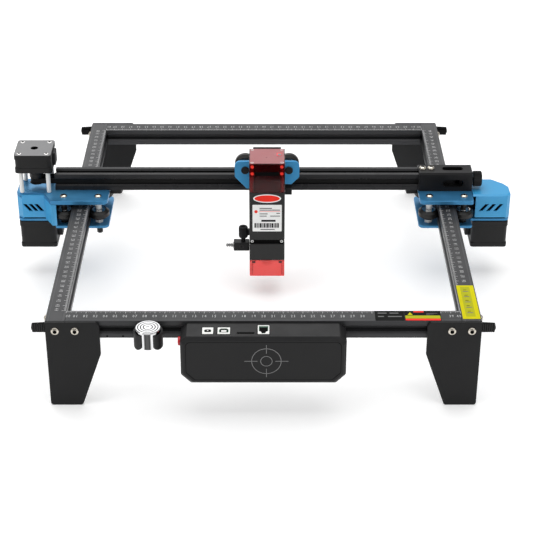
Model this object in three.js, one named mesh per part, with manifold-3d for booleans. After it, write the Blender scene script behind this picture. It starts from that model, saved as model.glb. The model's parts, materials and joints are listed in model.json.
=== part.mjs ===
// Desktop laser cutter: a rectangular frame of V-slot extrusion on four leg plates,
// a gantry that rolls along the side rails, and a laser module that rolls along the gantry beam.
// Millimetres, +X to the right, +Y to the back, +Z up, floor at z = 0.

import * as THREE from 'three';
import { mergeVertices } from 'three/addons/utils/BufferGeometryUtils.js';
import { ConvexGeometry } from 'three/addons/geometries/ConvexGeometry.js';
import Module from 'manifold-3d';

const wasm = await Module();
wasm.setup();

// ---------------------------------------------------------------- driving dimensions

const GAP = 0.3;               // air between pieces that touch on the real machine

const PROFILE = 20;            // side of the extrusion
const HALF = PROFILE / 2;
const FRAME_TOP = 100;
const FRAME_AXIS = FRAME_TOP - HALF;
const BAR_LENGTH = 400;        // front and rear bars, between the side rails
const RAIL_LENGTH = 480;       // side rails
const RAIL_X = BAR_LENGTH / 2 + HALF;
const FRAME_FACE = RAIL_LENGTH / 2;

const SLOT_MOUTH = 4.8;        // half widths and depths of the V-slot, from the profile's axis
const SLOT_NECK = 3.2;
const SLOT_ROOM = 5.5;
const LIP_INSIDE = 7.8;
const ROOM_SHOULDER = 6.5;
const CORE = 4.2;

const LEG_THICKNESS = 3;
const LEG_SCREW_RADIUS = 4.25;
const LEG_SCREW_HEAD = 2.2;

const BELT_WIDTH = 6;
const BELT_THICKNESS = 1.4;
const RAIL_BELT_DEPTH = 5.25;  // belt centre line, outwards from the rail's axis
const BELT_TAIL_REACH = 233;
const BELT_TAIL_Y = 236;

const WHEEL_RADIUS = 11.95;
const WHEEL_CROWN = 2.3;
const WHEEL_SHOULDER = 9.15;
const WHEEL_HALF_WIDTH = 5.1;
const WHEEL_BORE = 2.8;
const WHEEL_STANDOFF = 9.8;    // wheel axis to the face of its extrusion

const GANTRY_Y = 40;           // beam and motors, at rest
const WHEEL_SPACING_Y = 26;
const PLATE_INNER = 178.5;
const PLATE_OUTER = 240;
const PLATE_FRONT = 2;
const PLATE_BACK = 78;
const UPPER_PLATE = [106, 111];
const LOWER_PLATE = [76, 79];
const MOTOR_X = 263;
const MOTOR_SIDE = 42.3;
const OUTER_REACH = 285;       // half of the machine's width

const BEAM_AXIS = UPPER_PLATE[1] + HALF;
const BEAM_LEFT = -241;
const BEAM_RIGHT = 200;
const PULLEY_BELT_RADIUS = 6.4;
const PULLEY_CORE = 5.4;
const PULLEY_FLANGE = 8;
const IDLER_X = 216;
const X_MOTOR_FLOOR = 137.7;
const X_MOTOR_TOP = 160;

const COVER_WALL = 2;
const COVER_FRONT = 20;
const COVER_BACK = 60;
const COVER_CORNER = 6;
const COVER_TOP = 109.5;
const FLANGE_X = 243.2;        // where the left cover bends from its front flange towards its front wall
const LEDGE_Y = 22.4;          // the left plate ends here, behind the cover's front wall

const TENSIONER = { left: 178.7, right: 240, front: 27, back: 53, top: 133.8, wall: 2.7 };
const WINDOW_X = [206, 230];
const WINDOW_RADIUS = 4.3;
const KNOB_RADIUS = 9;

const CARRIAGE_X = 3.7;        // laser carriage centre, at rest
const CARRIAGE_WHEEL_X = 25;
const LASER_WIDTH = 40;
const LASER_FRONT = -24;
const LASER_BACK = 16;
const LASER_MIDDLE_Y = (LASER_FRONT + LASER_BACK) / 2;
const SHIELD_FLOOR = 27.3;
const LASER_FLOOR = 48.3;
const LASER_WAIST = [69.3, 74.8];
const LASER_ROOF = 134.3;
const COVER_ROOF = 170.5;
const THIN_WALL = 1.6;

const BOX_HALF_WIDTH = 83;
const BOX_FLOOR = 43.3;
const BOX_ROOF = 98.5;
const BOX_FACE = -269.4;
const BOX_RIM = 3;
const BOX_WALL = 2;
const BUTTON_Y = -254;
const BUTTON_Z = 85.2;

const GAUGE_X = -115.1;
const GAUGE_Y = -255;
const GAUGE_RADIUS = 12.75;
const GAUGE_FLOOR = 82.6;
const GAUGE_ROOF = 102.3;

const WHEEL_SIDES = 20;
const PULLEY_SIDES = 16;
const ROUND_SIDES = 32;

// ---------------------------------------------------------------- finishes

const FINISHES = {
  blackAnodised: { color: 0x2b2c2e, roughness: 0.42, metalness: 0.75 },
  blackPaint: { color: 0x1d1d1f, roughness: 0.5, metalness: 0.1 },
  blackPlastic: { color: 0x18181a, roughness: 0.55, metalness: 0 },
  blueAnodised: { color: 0x2f74ad, roughness: 0.35, metalness: 0.6 },
  bluePlastic: { color: 0x3f9ad6, roughness: 0.4, metalness: 0 },
  brightSteel: { color: 0xc9cacc, roughness: 0.25, metalness: 1 },
  greySteel: { color: 0x8c8f92, roughness: 0.35, metalness: 1 },
  blackSteel: { color: 0x1a1a1b, roughness: 0.45, metalness: 0.6 },
  rubberBlack: { color: 0x141414, roughness: 0.85, metalness: 0 },
  wheelBlack: { color: 0x202022, roughness: 0.45, metalness: 0 },
  redClear: { color: 0xd81f26, roughness: 0.15, metalness: 0 },
  redPlastic: { color: 0xc4161c, roughness: 0.4, metalness: 0 },
  greenBoard: { color: 0x1f5a3a, roughness: 0.5, metalness: 0 },
  brass: { color: 0xb08d4a, roughness: 0.3, metalness: 1 },
};

// ---------------------------------------------------------------- solids

function toSolid(geometry) {
  const bare = geometry.clone();
  bare.deleteAttribute('normal');
  bare.deleteAttribute('uv');
  const merged = mergeVertices(bare, 1e-4);
  const vertProperties = new Float32Array(merged.attributes.position.array);
  const triVerts = new Uint32Array(merged.index.array);
  return new wasm.Manifold(new wasm.Mesh({ numProp: 3, vertProperties, triVerts }));
}

function toGeometry(solid) {
  const mesh = solid.getMesh();
  const geometry = new THREE.BufferGeometry();
  geometry.setAttribute('position', new THREE.BufferAttribute(mesh.vertProperties, 3));
  geometry.setIndex(new THREE.BufferAttribute(mesh.triVerts, 1));
  geometry.computeVertexNormals();
  return geometry;
}

function join(first, ...others) {
  return toGeometry(others.reduce((sum, other) => sum.add(toSolid(other)), toSolid(first)));
}

function cut(first, ...others) {
  return toGeometry(others.reduce((rest, other) => rest.subtract(toSolid(other)), toSolid(first)));
}

function box(x0, x1, y0, y1, z0, z1) {
  const geometry = new THREE.BoxGeometry(x1 - x0, y1 - y0, z1 - z0);
  return geometry.translate((x0 + x1) / 2, (y0 + y1) / 2, (z0 + z1) / 2);
}

// A closed outline of [x, y] or [x, y, radius] corners.
function outline(corners) {
  const shape = new THREE.Shape();
  const count = corners.length;
  corners.forEach(([x, y, radius = 0], index) => {
    const before = corners[(index + count - 1) % count];
    const after = corners[(index + 1) % count];
    const towards = ([px, py]) => {
      const length = Math.hypot(px - x, py - y);
      return [x + (px - x) * radius / length, y + (py - y) * radius / length];
    };
    const [startX, startY] = towards(before);
    if (index === 0) shape.moveTo(startX, startY);
    else shape.lineTo(startX, startY);
    if (radius > 0) shape.quadraticCurveTo(x, y, ...towards(after));
  });
  return shape;
}

function extrude(shape, length, curveSegments = 2) {
  return new THREE.ExtrudeGeometry(shape, { depth: length, bevelEnabled: false, curveSegments });
}

// A plan outline (x, y) raised from z0 to z1.
function slab(shape, z0, z1, curveSegments) {
  return extrude(shape, z1 - z0, curveSegments).translate(0, 0, z0);
}

// A front-view outline (x, z) running from y0 back to y1.
function frontSlab(shape, y0, y1, curveSegments) {
  return extrude(shape, y1 - y0, curveSegments).rotateX(Math.PI / 2).translate(0, y1, 0);
}

// A side-view outline (y, z) running from x0 to x1.
function sideSlab(shape, x0, x1) {
  const turn = new THREE.Matrix4().makeBasis(
    new THREE.Vector3(0, 1, 0), new THREE.Vector3(0, 0, 1), new THREE.Vector3(1, 0, 0));
  return extrude(shape, x1 - x0).applyMatrix4(turn).translate(x0, 0, 0);
}

// A turned piece about Z, from [radius, height] points.
function turned(points, sides) {
  const profile = points.map(([radius, height]) => new THREE.Vector2(radius, height));
  return new THREE.LatheGeometry(profile, sides).rotateX(Math.PI / 2);
}

// The same, with a round bore right through.
function turnedRing(points, sides) {
  return turned([...points, points[0]], sides);
}

function rod(radius, z0, z1, sides = PULLEY_SIDES) {
  return turned([[0, z0], [radius, z0], [radius, z1], [0, z1]], sides);
}

// A rod along X.
function crossRod(radius, x0, x1, sides = PULLEY_SIDES) {
  return rod(radius, x0, x1, sides).rotateY(Math.PI / 2);
}

// The outline of a wall of even thickness that follows an open line; it grows to the left of it.
function wallOutline(line, thickness) {
  const offset = line.map(([x, y], index) => {
    const before = line[Math.max(index - 1, 0)];
    const after = line[Math.min(index + 1, line.length - 1)];
    const unit = ([ax, ay], [bx, by]) => {
      const length = Math.hypot(bx - ax, by - ay) || 1;
      return [(bx - ax) / length, (by - ay) / length];
    };
    const inward = unit(index ? before : line[0], index ? [x, y] : line[1]);
    const outward = unit(index < line.length - 1 ? [x, y] : before, after);
    const normal = [-(inward[1] + outward[1]), inward[0] + outward[0]];
    const mitre = 2 * thickness / (normal[0] ** 2 + normal[1] ** 2);
    return [x + normal[0] * mitre, y + normal[1] * mitre];
  });
  return outline([...line, ...offset.reverse()]);
}

function mirroredX(line) {
  return line.map(([x, y, radius]) => [-x, y, radius]).reverse();
}

// ---------------------------------------------------------------- the assembly

const machine = new THREE.Group();

function add(name, geometry, finish, x = 0, y = 0, z = 0) {
  const mesh = new THREE.Mesh(geometry, new THREE.MeshStandardMaterial(FINISHES[finish]));
  mesh.name = name;
  mesh.position.set(x, y, z);
  machine.add(mesh);
}

const SIDES = [['left', -1], ['right', 1]];
const ENDS = [['front', -1], ['rear', 1]];

// ---------------------------------------------------------------- frame

// Four V-slots, or three under a plain top face that carries the length scales.
function slotProfile(plainTop) {
  const side = [
    [HALF, HALF],
    [SLOT_MOUTH, HALF],
    [SLOT_NECK, HALF - (SLOT_MOUTH - SLOT_NECK)],
    [SLOT_NECK, LIP_INSIDE],
    [SLOT_ROOM, LIP_INSIDE],
    [SLOT_ROOM, ROOM_SHOULDER],
    [SLOT_NECK, CORE],
  ];
  const mirrored = side.slice(1).reverse().map(([x, y]) => [-x, y]);
  const quarter = [...side, ...mirrored];
  const turns = [([x, y]) => [x, y], ([x, y]) => [-y, x], ([x, y]) => [-x, -y], ([x, y]) => [y, -x]];
  return outline(turns.flatMap((turn, index) => (
    index === 0 && plainTop ? [side[0]] : quarter.map(turn))));
}

function addFrame() {
  const section = slotProfile(true);
  const bar = sideSlab(section, -BAR_LENGTH / 2 + GAP, BAR_LENGTH / 2 - GAP);
  for (const [end, sign] of ENDS) {
    add(`${end}_bar`, bar, 'blackAnodised', 0, sign * (FRAME_FACE - HALF), FRAME_AXIS);
  }
  const rail = frontSlab(section, -FRAME_FACE, FRAME_FACE);
  for (const [side, sign] of SIDES) {
    add(`${side}_rail`, rail, 'blackAnodised', sign * RAIL_X, 0, FRAME_AXIS);
  }
}

function legGeometry(sign, end) {
  const outer = RAIL_X + HALF;
  const half = [
    [outer, 0], [outer, FRAME_TOP], [168.7, FRAME_TOP], [165.2, 96.4], [165.2, 62], [186.8, 0],
  ];
  const shape = outline(sign > 0 ? half : mirroredX(half));
  const plate = frontSlab(shape, GAP, GAP + LEG_THICKNESS);
  const heads = [190, 210].map((x) => rod(LEG_SCREW_RADIUS, -LEG_THICKNESS, LEG_SCREW_HEAD, 12)
    .rotateX(-Math.PI / 2)
    .translate(sign * x, GAP + LEG_THICKNESS, FRAME_AXIS));
  const leg = join(plate, ...heads);
  return end > 0 ? leg : toGeometry(toSolid(leg).mirror([0, 1, 0]));
}

function addLegs() {
  for (const [end, endSign] of ENDS) {
    for (const [side, sign] of SIDES) {
      add(`leg_${end}_${side}`, legGeometry(sign, endSign), 'blackPaint', 0, endSign * FRAME_FACE);
    }
  }
}

// Each belt lies in its rail's outer slot, and its two ends are folded out of the slot.
function addRailBelts() {
  const run = RAIL_X + RAIL_BELT_DEPTH - BELT_THICKNESS / 2;
  const line = [
    [BELT_TAIL_REACH, BELT_TAIL_Y], [run, BELT_TAIL_Y], [run, -BELT_TAIL_Y], [BELT_TAIL_REACH, -BELT_TAIL_Y],
  ];
  const right = wallOutline(line, BELT_THICKNESS);
  const left = wallOutline(mirroredX(line), BELT_THICKNESS);
  const [z0, z1] = [FRAME_AXIS - BELT_WIDTH / 2, FRAME_AXIS + BELT_WIDTH / 2];
  add('y_belt_right', slab(right, z0, z1), 'rubberBlack');
  add('y_belt_left', slab(left, z0, z1), 'rubberBlack');
}

// ---------------------------------------------------------------- control box

const BOX_CORNERS = [
  [76.4, BOX_ROOF], [-76.4, BOX_ROOF], [-BOX_HALF_WIDTH, 92.5], [-BOX_HALF_WIDTH, 53.5],
  [-73, BOX_FLOOR], [73, BOX_FLOOR], [BOX_HALF_WIDTH, 53.5], [BOX_HALF_WIDTH, 92.5],
];

function boxOutline(inset) {
  const middle = (BOX_FLOOR + BOX_ROOF) / 2;
  const scaleX = (BOX_HALF_WIDTH - inset) / BOX_HALF_WIDTH;
  const scaleZ = (BOX_ROOF - middle - inset) / (BOX_ROOF - middle);
  return BOX_CORNERS.map(([x, z]) => [x * scaleX, middle + (z - middle) * scaleZ]);
}

function hull(...rings) {
  const points = rings.flatMap(([inset, y]) => boxOutline(inset).map(([x, z]) => new THREE.Vector3(x, y, z)));
  return new ConvexGeometry(points);
}

// Sockets along the top, left to right: x range, y range, depth of the mouth.
const SOCKETS = [
  { x: [-61, -50], y: [-262, -250], mouth: [-58.5, -52.5, -259, -253] },
  { x: [-45.6, -33.3], y: [-262, -250], mouth: [-43.4, -35.5, -259.8, -252.2] },
  { x: [-5.6, 5.9], y: [-262, -245.8], mouth: [-4, 4.3, -260, -249] },
];
const CARD_SLOT = { x: [-26, -9], y: [-261.3, -258.7] };
const LID_FRONT = -FRAME_FACE - GAP - 1.6;
const BOARD_FRONT = -246;
const BOARD_BACK = -244.4;

function addControlBox() {
  const outer = hull([0, LID_FRONT - GAP], [0, BOX_FACE + BOX_RIM], [BOX_RIM, BOX_FACE]);
  const inner = hull([BOX_WALL, LID_FRONT + 1], [BOX_WALL, BOX_FACE + BOX_RIM], [BOX_RIM + BOX_WALL, BOX_FACE + BOX_WALL]);
  const throughRoof = [BOX_ROOF - 4, BOX_ROOF + 1];
  const mouths = SOCKETS.map(({ x, y }) => (
    box(x[0] - GAP, x[1] + GAP, y[0] - GAP, y[1] + GAP, ...throughRoof)));
  const card = box(...CARD_SLOT.x, ...CARD_SLOT.y, ...throughRoof);
  const buttonHole = crossRod(4.9, -90, -70).translate(0, BUTTON_Y, BUTTON_Z);
  add('control_box_shell', cut(outer, inner, ...mouths, card, buttonHole), 'blackPlastic');

  const lid = frontSlab(outline(boxOutline(0).reverse()), LID_FRONT, -FRAME_FACE - GAP);
  add('control_box_back', toGeometry(toSolid(lid)), 'blackPaint');

  const board = box(-72, 72, BOARD_FRONT, BOARD_BACK, 50, 93);
  const underRoof = BOX_ROOF - BOX_WALL - GAP;
  const bodies = SOCKETS.flatMap(({ x, y }) => [
    box(...x, ...y, 80, BOX_ROOF - GAP),
    box(...x, y[1] - 1, BOARD_FRONT + 0.5, 80, underRoof),
  ]);
  const reader = box(-26, -9, -261.3, BOARD_FRONT + 0.5, 82, underRoof);
  const recess = 3.5;
  const holes = SOCKETS.map(({ mouth }) => box(...mouth, BOX_ROOF - GAP - recess, BOX_ROOF));
  add('control_board', cut(join(board, ...bodies, reader), ...holes), 'greenBoard');

  const button = turned([
    [0, -85.8], [4.1, -85.8], [4.5, -85.3], [4.5, -79.9], [5.4, -79.9], [5.4, -78.4], [0, -78.4],
  ], ROUND_SIDES / 2).rotateY(Math.PI / 2);
  add('power_button', button, 'redPlastic', 0, BUTTON_Y, BUTTON_Z);
}

// ---------------------------------------------------------------- focus gauge and its clip

function addGauge() {
  const gauge = turned([
    [0, GAUGE_FLOOR], [GAUGE_RADIUS - 0.6, GAUGE_FLOOR], [GAUGE_RADIUS, GAUGE_FLOOR + 0.6],
    [GAUGE_RADIUS, GAUGE_ROOF - 0.6], [GAUGE_RADIUS - 0.6, GAUGE_ROOF], [0, GAUGE_ROOF],
  ], ROUND_SIDES);
  add('focus_cylinder', gauge, 'brightSteel', GAUGE_X, GAUGE_Y);

  const inside = GAUGE_RADIUS + 0.35;
  const outside = inside + 1.5;
  const opening = Math.asin(6.1 / inside);
  const from = -Math.PI / 2 + opening;
  const to = 3 * Math.PI / 2 - opening;
  const arc = new THREE.Shape();
  arc.absarc(0, 0, outside, from, to, false);
  arc.absarc(0, 0, inside, to, from, true);
  arc.closePath();
  const arms = slab(arc, 81.2, BOX_ROOF, 10);
  const back = box(-9, 9, inside + 0.4, -FRAME_FACE - GAP - GAUGE_Y, 81.2, BOX_ROOF);
  add('cylinder_clip', join(arms, back), 'blackPlastic', GAUGE_X, GAUGE_Y);
}

// ---------------------------------------------------------------- gantry ends

function wheelGeometry() {
  return turnedRing([
    [WHEEL_BORE, -WHEEL_HALF_WIDTH], [WHEEL_SHOULDER, -WHEEL_HALF_WIDTH], [WHEEL_RADIUS, -WHEEL_CROWN],
    [WHEEL_RADIUS, WHEEL_CROWN], [WHEEL_SHOULDER, WHEEL_HALF_WIDTH], [WHEEL_BORE, WHEEL_HALF_WIDTH],
  ], WHEEL_SIDES);
}

// A toothed pulley about Z with the belt's middle at height 0 and a hub above it.
function pulleyGeometry(hubRadius, hubTop) {
  const face = BELT_WIDTH / 2 + GAP;
  return turnedRing([
    [WHEEL_BORE, -face - 1], [PULLEY_FLANGE, -face - 1], [PULLEY_FLANGE, -face], [PULLEY_CORE, -face],
    [PULLEY_CORE, face], [PULLEY_FLANGE, face], [PULLEY_FLANGE, face + 1], [hubRadius, face + 1],
    [hubRadius, hubTop], [WHEEL_BORE, hubTop],
  ], PULLEY_SIDES);
}

// A stepper motor with its flange at height 0 and its shaft pointing up.
function motorGeometry(length, shaftLength, connectorSide) {
  const half = MOTOR_SIDE / 2;
  const corner = 4.5;
  const square = outline([
    [half, corner - half], [half, half - corner], [half - corner, half], [corner - half, half],
    [-half, half - corner], [-half, corner - half], [corner - half, -half], [half - corner, -half],
  ]);
  const socket = connectorSide > 0
    ? box(half - 1, half + 5.5, -7, 7, 10 - length, 22 - length)
    : box(-half - 5.5, 1 - half, -7, 7, 10 - length, 22 - length);
  return join(slab(square, -length, 0), rod(11, -1, 2), rod(2.5, -1, shaftLength, 12), socket);
}

function platePlan(reach, motorFront, motorBack) {
  return [
    [PLATE_INNER, PLATE_FRONT, 6], [PLATE_OUTER, PLATE_FRONT, 3], [PLATE_OUTER, motorFront, 0],
    [reach, motorFront, 7], [reach, motorBack, 7], [PLATE_OUTER, motorBack, 0],
    [PLATE_OUTER, PLATE_BACK, 5], [PLATE_INNER, PLATE_BACK, 6],
  ];
}

const PLAIN_PLATE = [
  [PLATE_INNER, PLATE_FRONT, 6], [PLATE_OUTER, PLATE_FRONT, 3],
  [PLATE_OUTER, PLATE_BACK, 5], [PLATE_INNER, PLATE_BACK, 6],
];

// The left upper plate runs out over its cover and carries the X motor.
const LEFT_PLATE = [
  [PLATE_INNER, PLATE_FRONT, 6], [FLANGE_X, PLATE_FRONT, 1], [252.6, 19.2, 0.5], [252.6, LEDGE_Y, 0],
  [OUTER_REACH - COVER_CORNER + LEDGE_Y - COVER_FRONT, LEDGE_Y, 0.5], [OUTER_REACH, COVER_FRONT + COVER_CORNER, 1],
  [OUTER_REACH, COVER_BACK - COVER_CORNER, 1], [OUTER_REACH - COVER_CORNER, COVER_BACK, 1],
  [PLATE_OUTER, COVER_BACK, 0], [PLATE_OUTER, PLATE_BACK, 5], [PLATE_INNER, PLATE_BACK, 6],
];

function addPlates() {
  add('left_upper_plate', slab(outline(mirroredX(LEFT_PLATE)), ...UPPER_PLATE), 'blueAnodised');
  add('right_upper_plate', slab(outline(PLAIN_PLATE), ...UPPER_PLATE), 'blueAnodised');

  const lower = platePlan(OUTER_REACH, COVER_FRONT, COVER_BACK + 2);
  for (const [side, sign] of SIDES) {
    const plan = outline(sign > 0 ? lower : mirroredX(lower));
    const pilotHole = rod(11.6, LOWER_PLATE[0] - 1, LOWER_PLATE[1] + 1).translate(sign * MOTOR_X, GANTRY_Y, 0);
    add(`${side}_lower_plate`, cut(slab(plan, ...LOWER_PLATE), pilotHole), 'blueAnodised');
  }
}

const LEFT_COVER_LINE = [
  [237.5, PLATE_FRONT], [FLANGE_X, PLATE_FRONT], [253, COVER_FRONT], [OUTER_REACH - COVER_CORNER, COVER_FRONT],
  [OUTER_REACH, COVER_FRONT + COVER_CORNER], [OUTER_REACH, COVER_BACK - COVER_CORNER],
  [OUTER_REACH - COVER_CORNER, COVER_BACK], [PLATE_OUTER + 1, COVER_BACK],
];
const RIGHT_COVER_LINE = [
  [244.5, COVER_FRONT], [281, COVER_FRONT], [OUTER_REACH, 24.5], [OUTER_REACH, 42],
  [280, 50.5], [267, 62], [243.5, 62],
];
const LID_CHAMFER = 2;

// Three slanted slots in the front wall, with their upper ends further out.
function ventTools(sign, start, pitch) {
  const [z0, z1] = [88.8, 97.8];
  return [0, 1, 2].map((index) => {
    const x = start + pitch * index;
    const slot = [[x, z0], [x + 4.4, z0], [x + 11.8, z1], [x + 7.4, z1]];
    return frontSlab(outline(sign > 0 ? slot : mirroredX(slot)), COVER_FRONT - 1, COVER_FRONT + COVER_WALL + 1);
  });
}

function addCovers() {
  const floor = LOWER_PLATE[1] + GAP;
  const leftWalls = slab(wallOutline(mirroredX(LEFT_COVER_LINE), COVER_WALL), floor, UPPER_PLATE[0] - GAP);
  const leftFront = slab(wallOutline(mirroredX(LEFT_COVER_LINE.slice(2, 4)), COVER_WALL), floor, COVER_TOP);
  add('left_cover', cut(join(leftWalls, leftFront), ...ventTools(-1, 253.4, 6.8)), 'bluePlastic');

  // The right cover is a closed box, open below and towards the plates, with a sloping front rim.
  const walls = slab(wallOutline(RIGHT_COVER_LINE, COVER_WALL), floor, COVER_TOP);
  const innerEdge = [[PLATE_OUTER + 1, 62], [PLATE_OUTER + 1, COVER_FRONT]];
  const lid = slab(outline([...RIGHT_COVER_LINE, ...innerEdge]), COVER_TOP - COVER_WALL, COVER_TOP);
  const brace = sideSlab(outline([
    [COVER_FRONT + 1, COVER_TOP - 4], [COVER_FRONT + COVER_WALL, COVER_TOP - 4], [COVER_FRONT + 4, COVER_TOP - 2],
    [COVER_FRONT + 4, COVER_TOP - 1], [COVER_FRONT + 1, COVER_TOP - 1],
  ]), 245.5, 281);
  const chamfer = sideSlab(outline([
    [COVER_FRONT - 8, COVER_TOP - LID_CHAMFER - 8], [COVER_FRONT + 8, COVER_TOP - LID_CHAMFER + 8],
    [COVER_FRONT - 8, COVER_TOP - LID_CHAMFER + 8],
  ]), PLATE_OUTER, OUTER_REACH + 1);
  add('right_cover', cut(join(walls, lid, brace), chamfer, ...ventTools(1, 248.9, 8.35)), 'bluePlastic');
}

// The part of the rail belt that leaves the slot between the outer wheels and rounds the motor pulley.
// The line is the belt's right-hand face: its inside on the wheels and its outside on the pulley.
function beltLoopLine() {
  const wheelX = RAIL_X + HALF + WHEEL_STANDOFF;
  const wheelY = GANTRY_Y - WHEEL_SPACING_Y;
  const wheelReach = wheelX - RAIL_X - RAIL_BELT_DEPTH - BELT_THICKNESS / 2;
  const pulleyReach = PULLEY_BELT_RADIUS + BELT_THICKNESS / 2;
  const dx = MOTOR_X - wheelX;
  const dy = GANTRY_Y - wheelY;
  const spread = Math.acos((wheelReach + pulleyReach) / Math.hypot(dx, dy));
  const leave = Math.atan2(dy, dx) + spread;
  const start = Math.PI - 0.55;
  const half = [];
  const steps = 5;
  for (let step = 0; step <= steps; step += 1) {
    const angle = start + (leave - start) * step / steps;
    half.push([wheelX + wheelReach * Math.cos(angle), wheelY + wheelReach * Math.sin(angle)]);
  }
  const meet = leave - Math.PI;
  for (let step = 0; step <= steps; step += 1) {
    const angle = meet + (0 - meet) * step / steps;
    half.push([MOTOR_X + pulleyReach * Math.cos(angle), GANTRY_Y + pulleyReach * Math.sin(angle)]);
  }
  const back = half.slice(0, -1).reverse().map(([x, y]) => [x, 2 * GANTRY_Y - y]);
  return [...half, ...back];
}

function addGantryEnds() {
  addPlates();
  addCovers();
  const motor = motorGeometry(33.7, 21.5, -1);
  const motorMirrored = motorGeometry(33.7, 21.5, 1);
  const pulley = pulleyGeometry(PULLEY_FLANGE, 11);
  const wheel = wheelGeometry();
  const loop = beltLoopLine();
  const beltFloor = FRAME_AXIS - BELT_WIDTH / 2;
  for (const [side, sign] of SIDES) {
    const flange = LOWER_PLATE[0] - GAP;
    add(`y_motor_${side}`, sign > 0 ? motor : motorMirrored, 'blackPaint', sign * MOTOR_X, GANTRY_Y, flange);
    add(`y_pulley_${side}`, pulley, 'greySteel', sign * MOTOR_X, GANTRY_Y, FRAME_AXIS);
    const line = sign > 0 ? loop : mirroredX(loop);
    add(`y_belt_loop_${side}`, slab(wallOutline(line, BELT_THICKNESS), beltFloor, beltFloor + BELT_WIDTH), 'rubberBlack');
    for (const [end, endSign] of ENDS) {
      const y = GANTRY_Y + endSign * WHEEL_SPACING_Y;
      const inner = RAIL_X - HALF - WHEEL_STANDOFF;
      const outer = RAIL_X + HALF + WHEEL_STANDOFF;
      add(`y_wheel_${side}_inner_${end}`, wheel, 'wheelBlack', sign * inner, y, FRAME_AXIS);
      add(`y_wheel_${side}_outer_${end}`, wheel, 'wheelBlack', sign * outer, y, FRAME_AXIS);
    }
  }
}

// ---------------------------------------------------------------- beam, X drive and belt tensioner

function stadium(radius, x0, x1, holeRadius) {
  const ring = (path, r) => {
    path.moveTo(x0, -r);
    path.lineTo(x1, -r);
    path.absarc(x1, 0, r, -Math.PI / 2, Math.PI / 2, false);
    path.lineTo(x0, r);
    path.absarc(x0, 0, r, Math.PI / 2, 3 * Math.PI / 2, false);
  };
  const shape = new THREE.Shape();
  ring(shape, radius);
  const hole = new THREE.Path();
  ring(hole, holeRadius);
  shape.holes.push(hole);
  return shape;
}

function addTensioner() {
  const { left, right, front, back, top, wall } = TENSIONER;
  const block = toGeometry(toSolid(sideSlab(outline([
    [front, UPPER_PLATE[1] + GAP], [back, UPPER_PLATE[1] + GAP], [back, top - 3], [back - 3, top],
    [front + 2, top], [front, top - 2],
  ]), left, right)));
  const cavity = box(left - 1, right - wall, front + wall, back - wall, 100, BEAM_AXIS + HALF + GAP);
  const windowOutline = (middle) => outline([
    [WINDOW_X[0], middle - WINDOW_RADIUS, WINDOW_RADIUS], [WINDOW_X[1], middle - WINDOW_RADIUS, WINDOW_RADIUS],
    [WINDOW_X[1], middle + WINDOW_RADIUS, WINDOW_RADIUS], [WINDOW_X[0], middle + WINDOW_RADIUS, WINDOW_RADIUS],
  ]);
  const window = frontSlab(windowOutline(BEAM_AXIS), front - 1, front + wall + 1, 4);
  const topSlot = slab(windowOutline(GANTRY_Y), 130, 140, 4);
  const rodHole = crossRod(2.5, right - wall - 1, right + 1).translate(0, GANTRY_Y, BEAM_AXIS);
  add('tensioner_body', cut(block, cavity, window, topSlot, rodHole), 'blackAnodised');

  const cheek = (z0, z1) => box(208, 229, GANTRY_Y - 7, GANTRY_Y + 7, z0, z1);
  const web = box(226, 229, GANTRY_Y - 7, GANTRY_Y + 7, 113.6, 128.4);
  const pin = rod(1.6, 114, 128, 12).translate(IDLER_X, GANTRY_Y, 0);
  const nutHole = crossRod(2.3, 225, 230, 12).translate(0, GANTRY_Y, BEAM_AXIS);
  const yoke = cut(join(cheek(113.6, 116.4), cheek(125.6, 128.4), web, pin), nutHole);
  add('tension_yoke', yoke, 'blackAnodised');

  const face = BELT_WIDTH / 2 + 0.1;
  const idler = turnedRing([
    [2, -face - 1], [PULLEY_FLANGE, -face - 1], [PULLEY_FLANGE, -face], [PULLEY_CORE, -face],
    [PULLEY_CORE, face], [PULLEY_FLANGE, face], [PULLEY_FLANGE, face + 1], [2, face + 1],
  ], PULLEY_SIDES);
  add('idler_pulley', idler, 'greySteel', IDLER_X, GANTRY_Y, BEAM_AXIS);

  const knob = turned([
    [0, 226.2], [2, 226.2], [2, 242], [KNOB_RADIUS - 1, 242], [KNOB_RADIUS, 243], [KNOB_RADIUS, 251],
    [KNOB_RADIUS - 1, 252], [0, 252],
  ], ROUND_SIDES * 3 / 4).rotateY(Math.PI / 2);
  add('tensioner_knob', knob, 'blackSteel', 0, GANTRY_Y, BEAM_AXIS);
}

function addBeam() {
  add('x_beam', sideSlab(slotProfile(false), BEAM_LEFT, BEAM_RIGHT), 'blackAnodised', 0, GANTRY_Y, BEAM_AXIS);

  const motor = motorGeometry(X_MOTOR_TOP - X_MOTOR_FLOOR, 22.5, 1).rotateX(Math.PI);
  add('x_motor', motor, 'blackPaint', -MOTOR_X, GANTRY_Y, X_MOTOR_FLOOR);
  const pulley = pulleyGeometry(6.5, 9.5);
  add('x_pulley', pulley, 'greySteel', -MOTOR_X, GANTRY_Y, BEAM_AXIS);

  const standoff = rod(2.5, UPPER_PLATE[1] + GAP, X_MOTOR_FLOOR - GAP, 12);
  for (const [end, endSign] of ENDS) {
    for (const [side, sign] of SIDES) {
      add(`standoff_${end}_${side}`, standoff, 'brightSteel', -MOTOR_X + sign * 15.5, GANTRY_Y + endSign * 15.5);
    }
  }

  const outer = PULLEY_BELT_RADIUS + BELT_THICKNESS / 2;
  const belt = stadium(outer, -MOTOR_X, IDLER_X, outer - BELT_THICKNESS);
  const floor = BEAM_AXIS - BELT_WIDTH / 2;
  add('x_belt', slab(belt, floor, floor + BELT_WIDTH, 10), 'rubberBlack', 0, GANTRY_Y);
  addTensioner();
}

// ---------------------------------------------------------------- laser carriage

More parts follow.
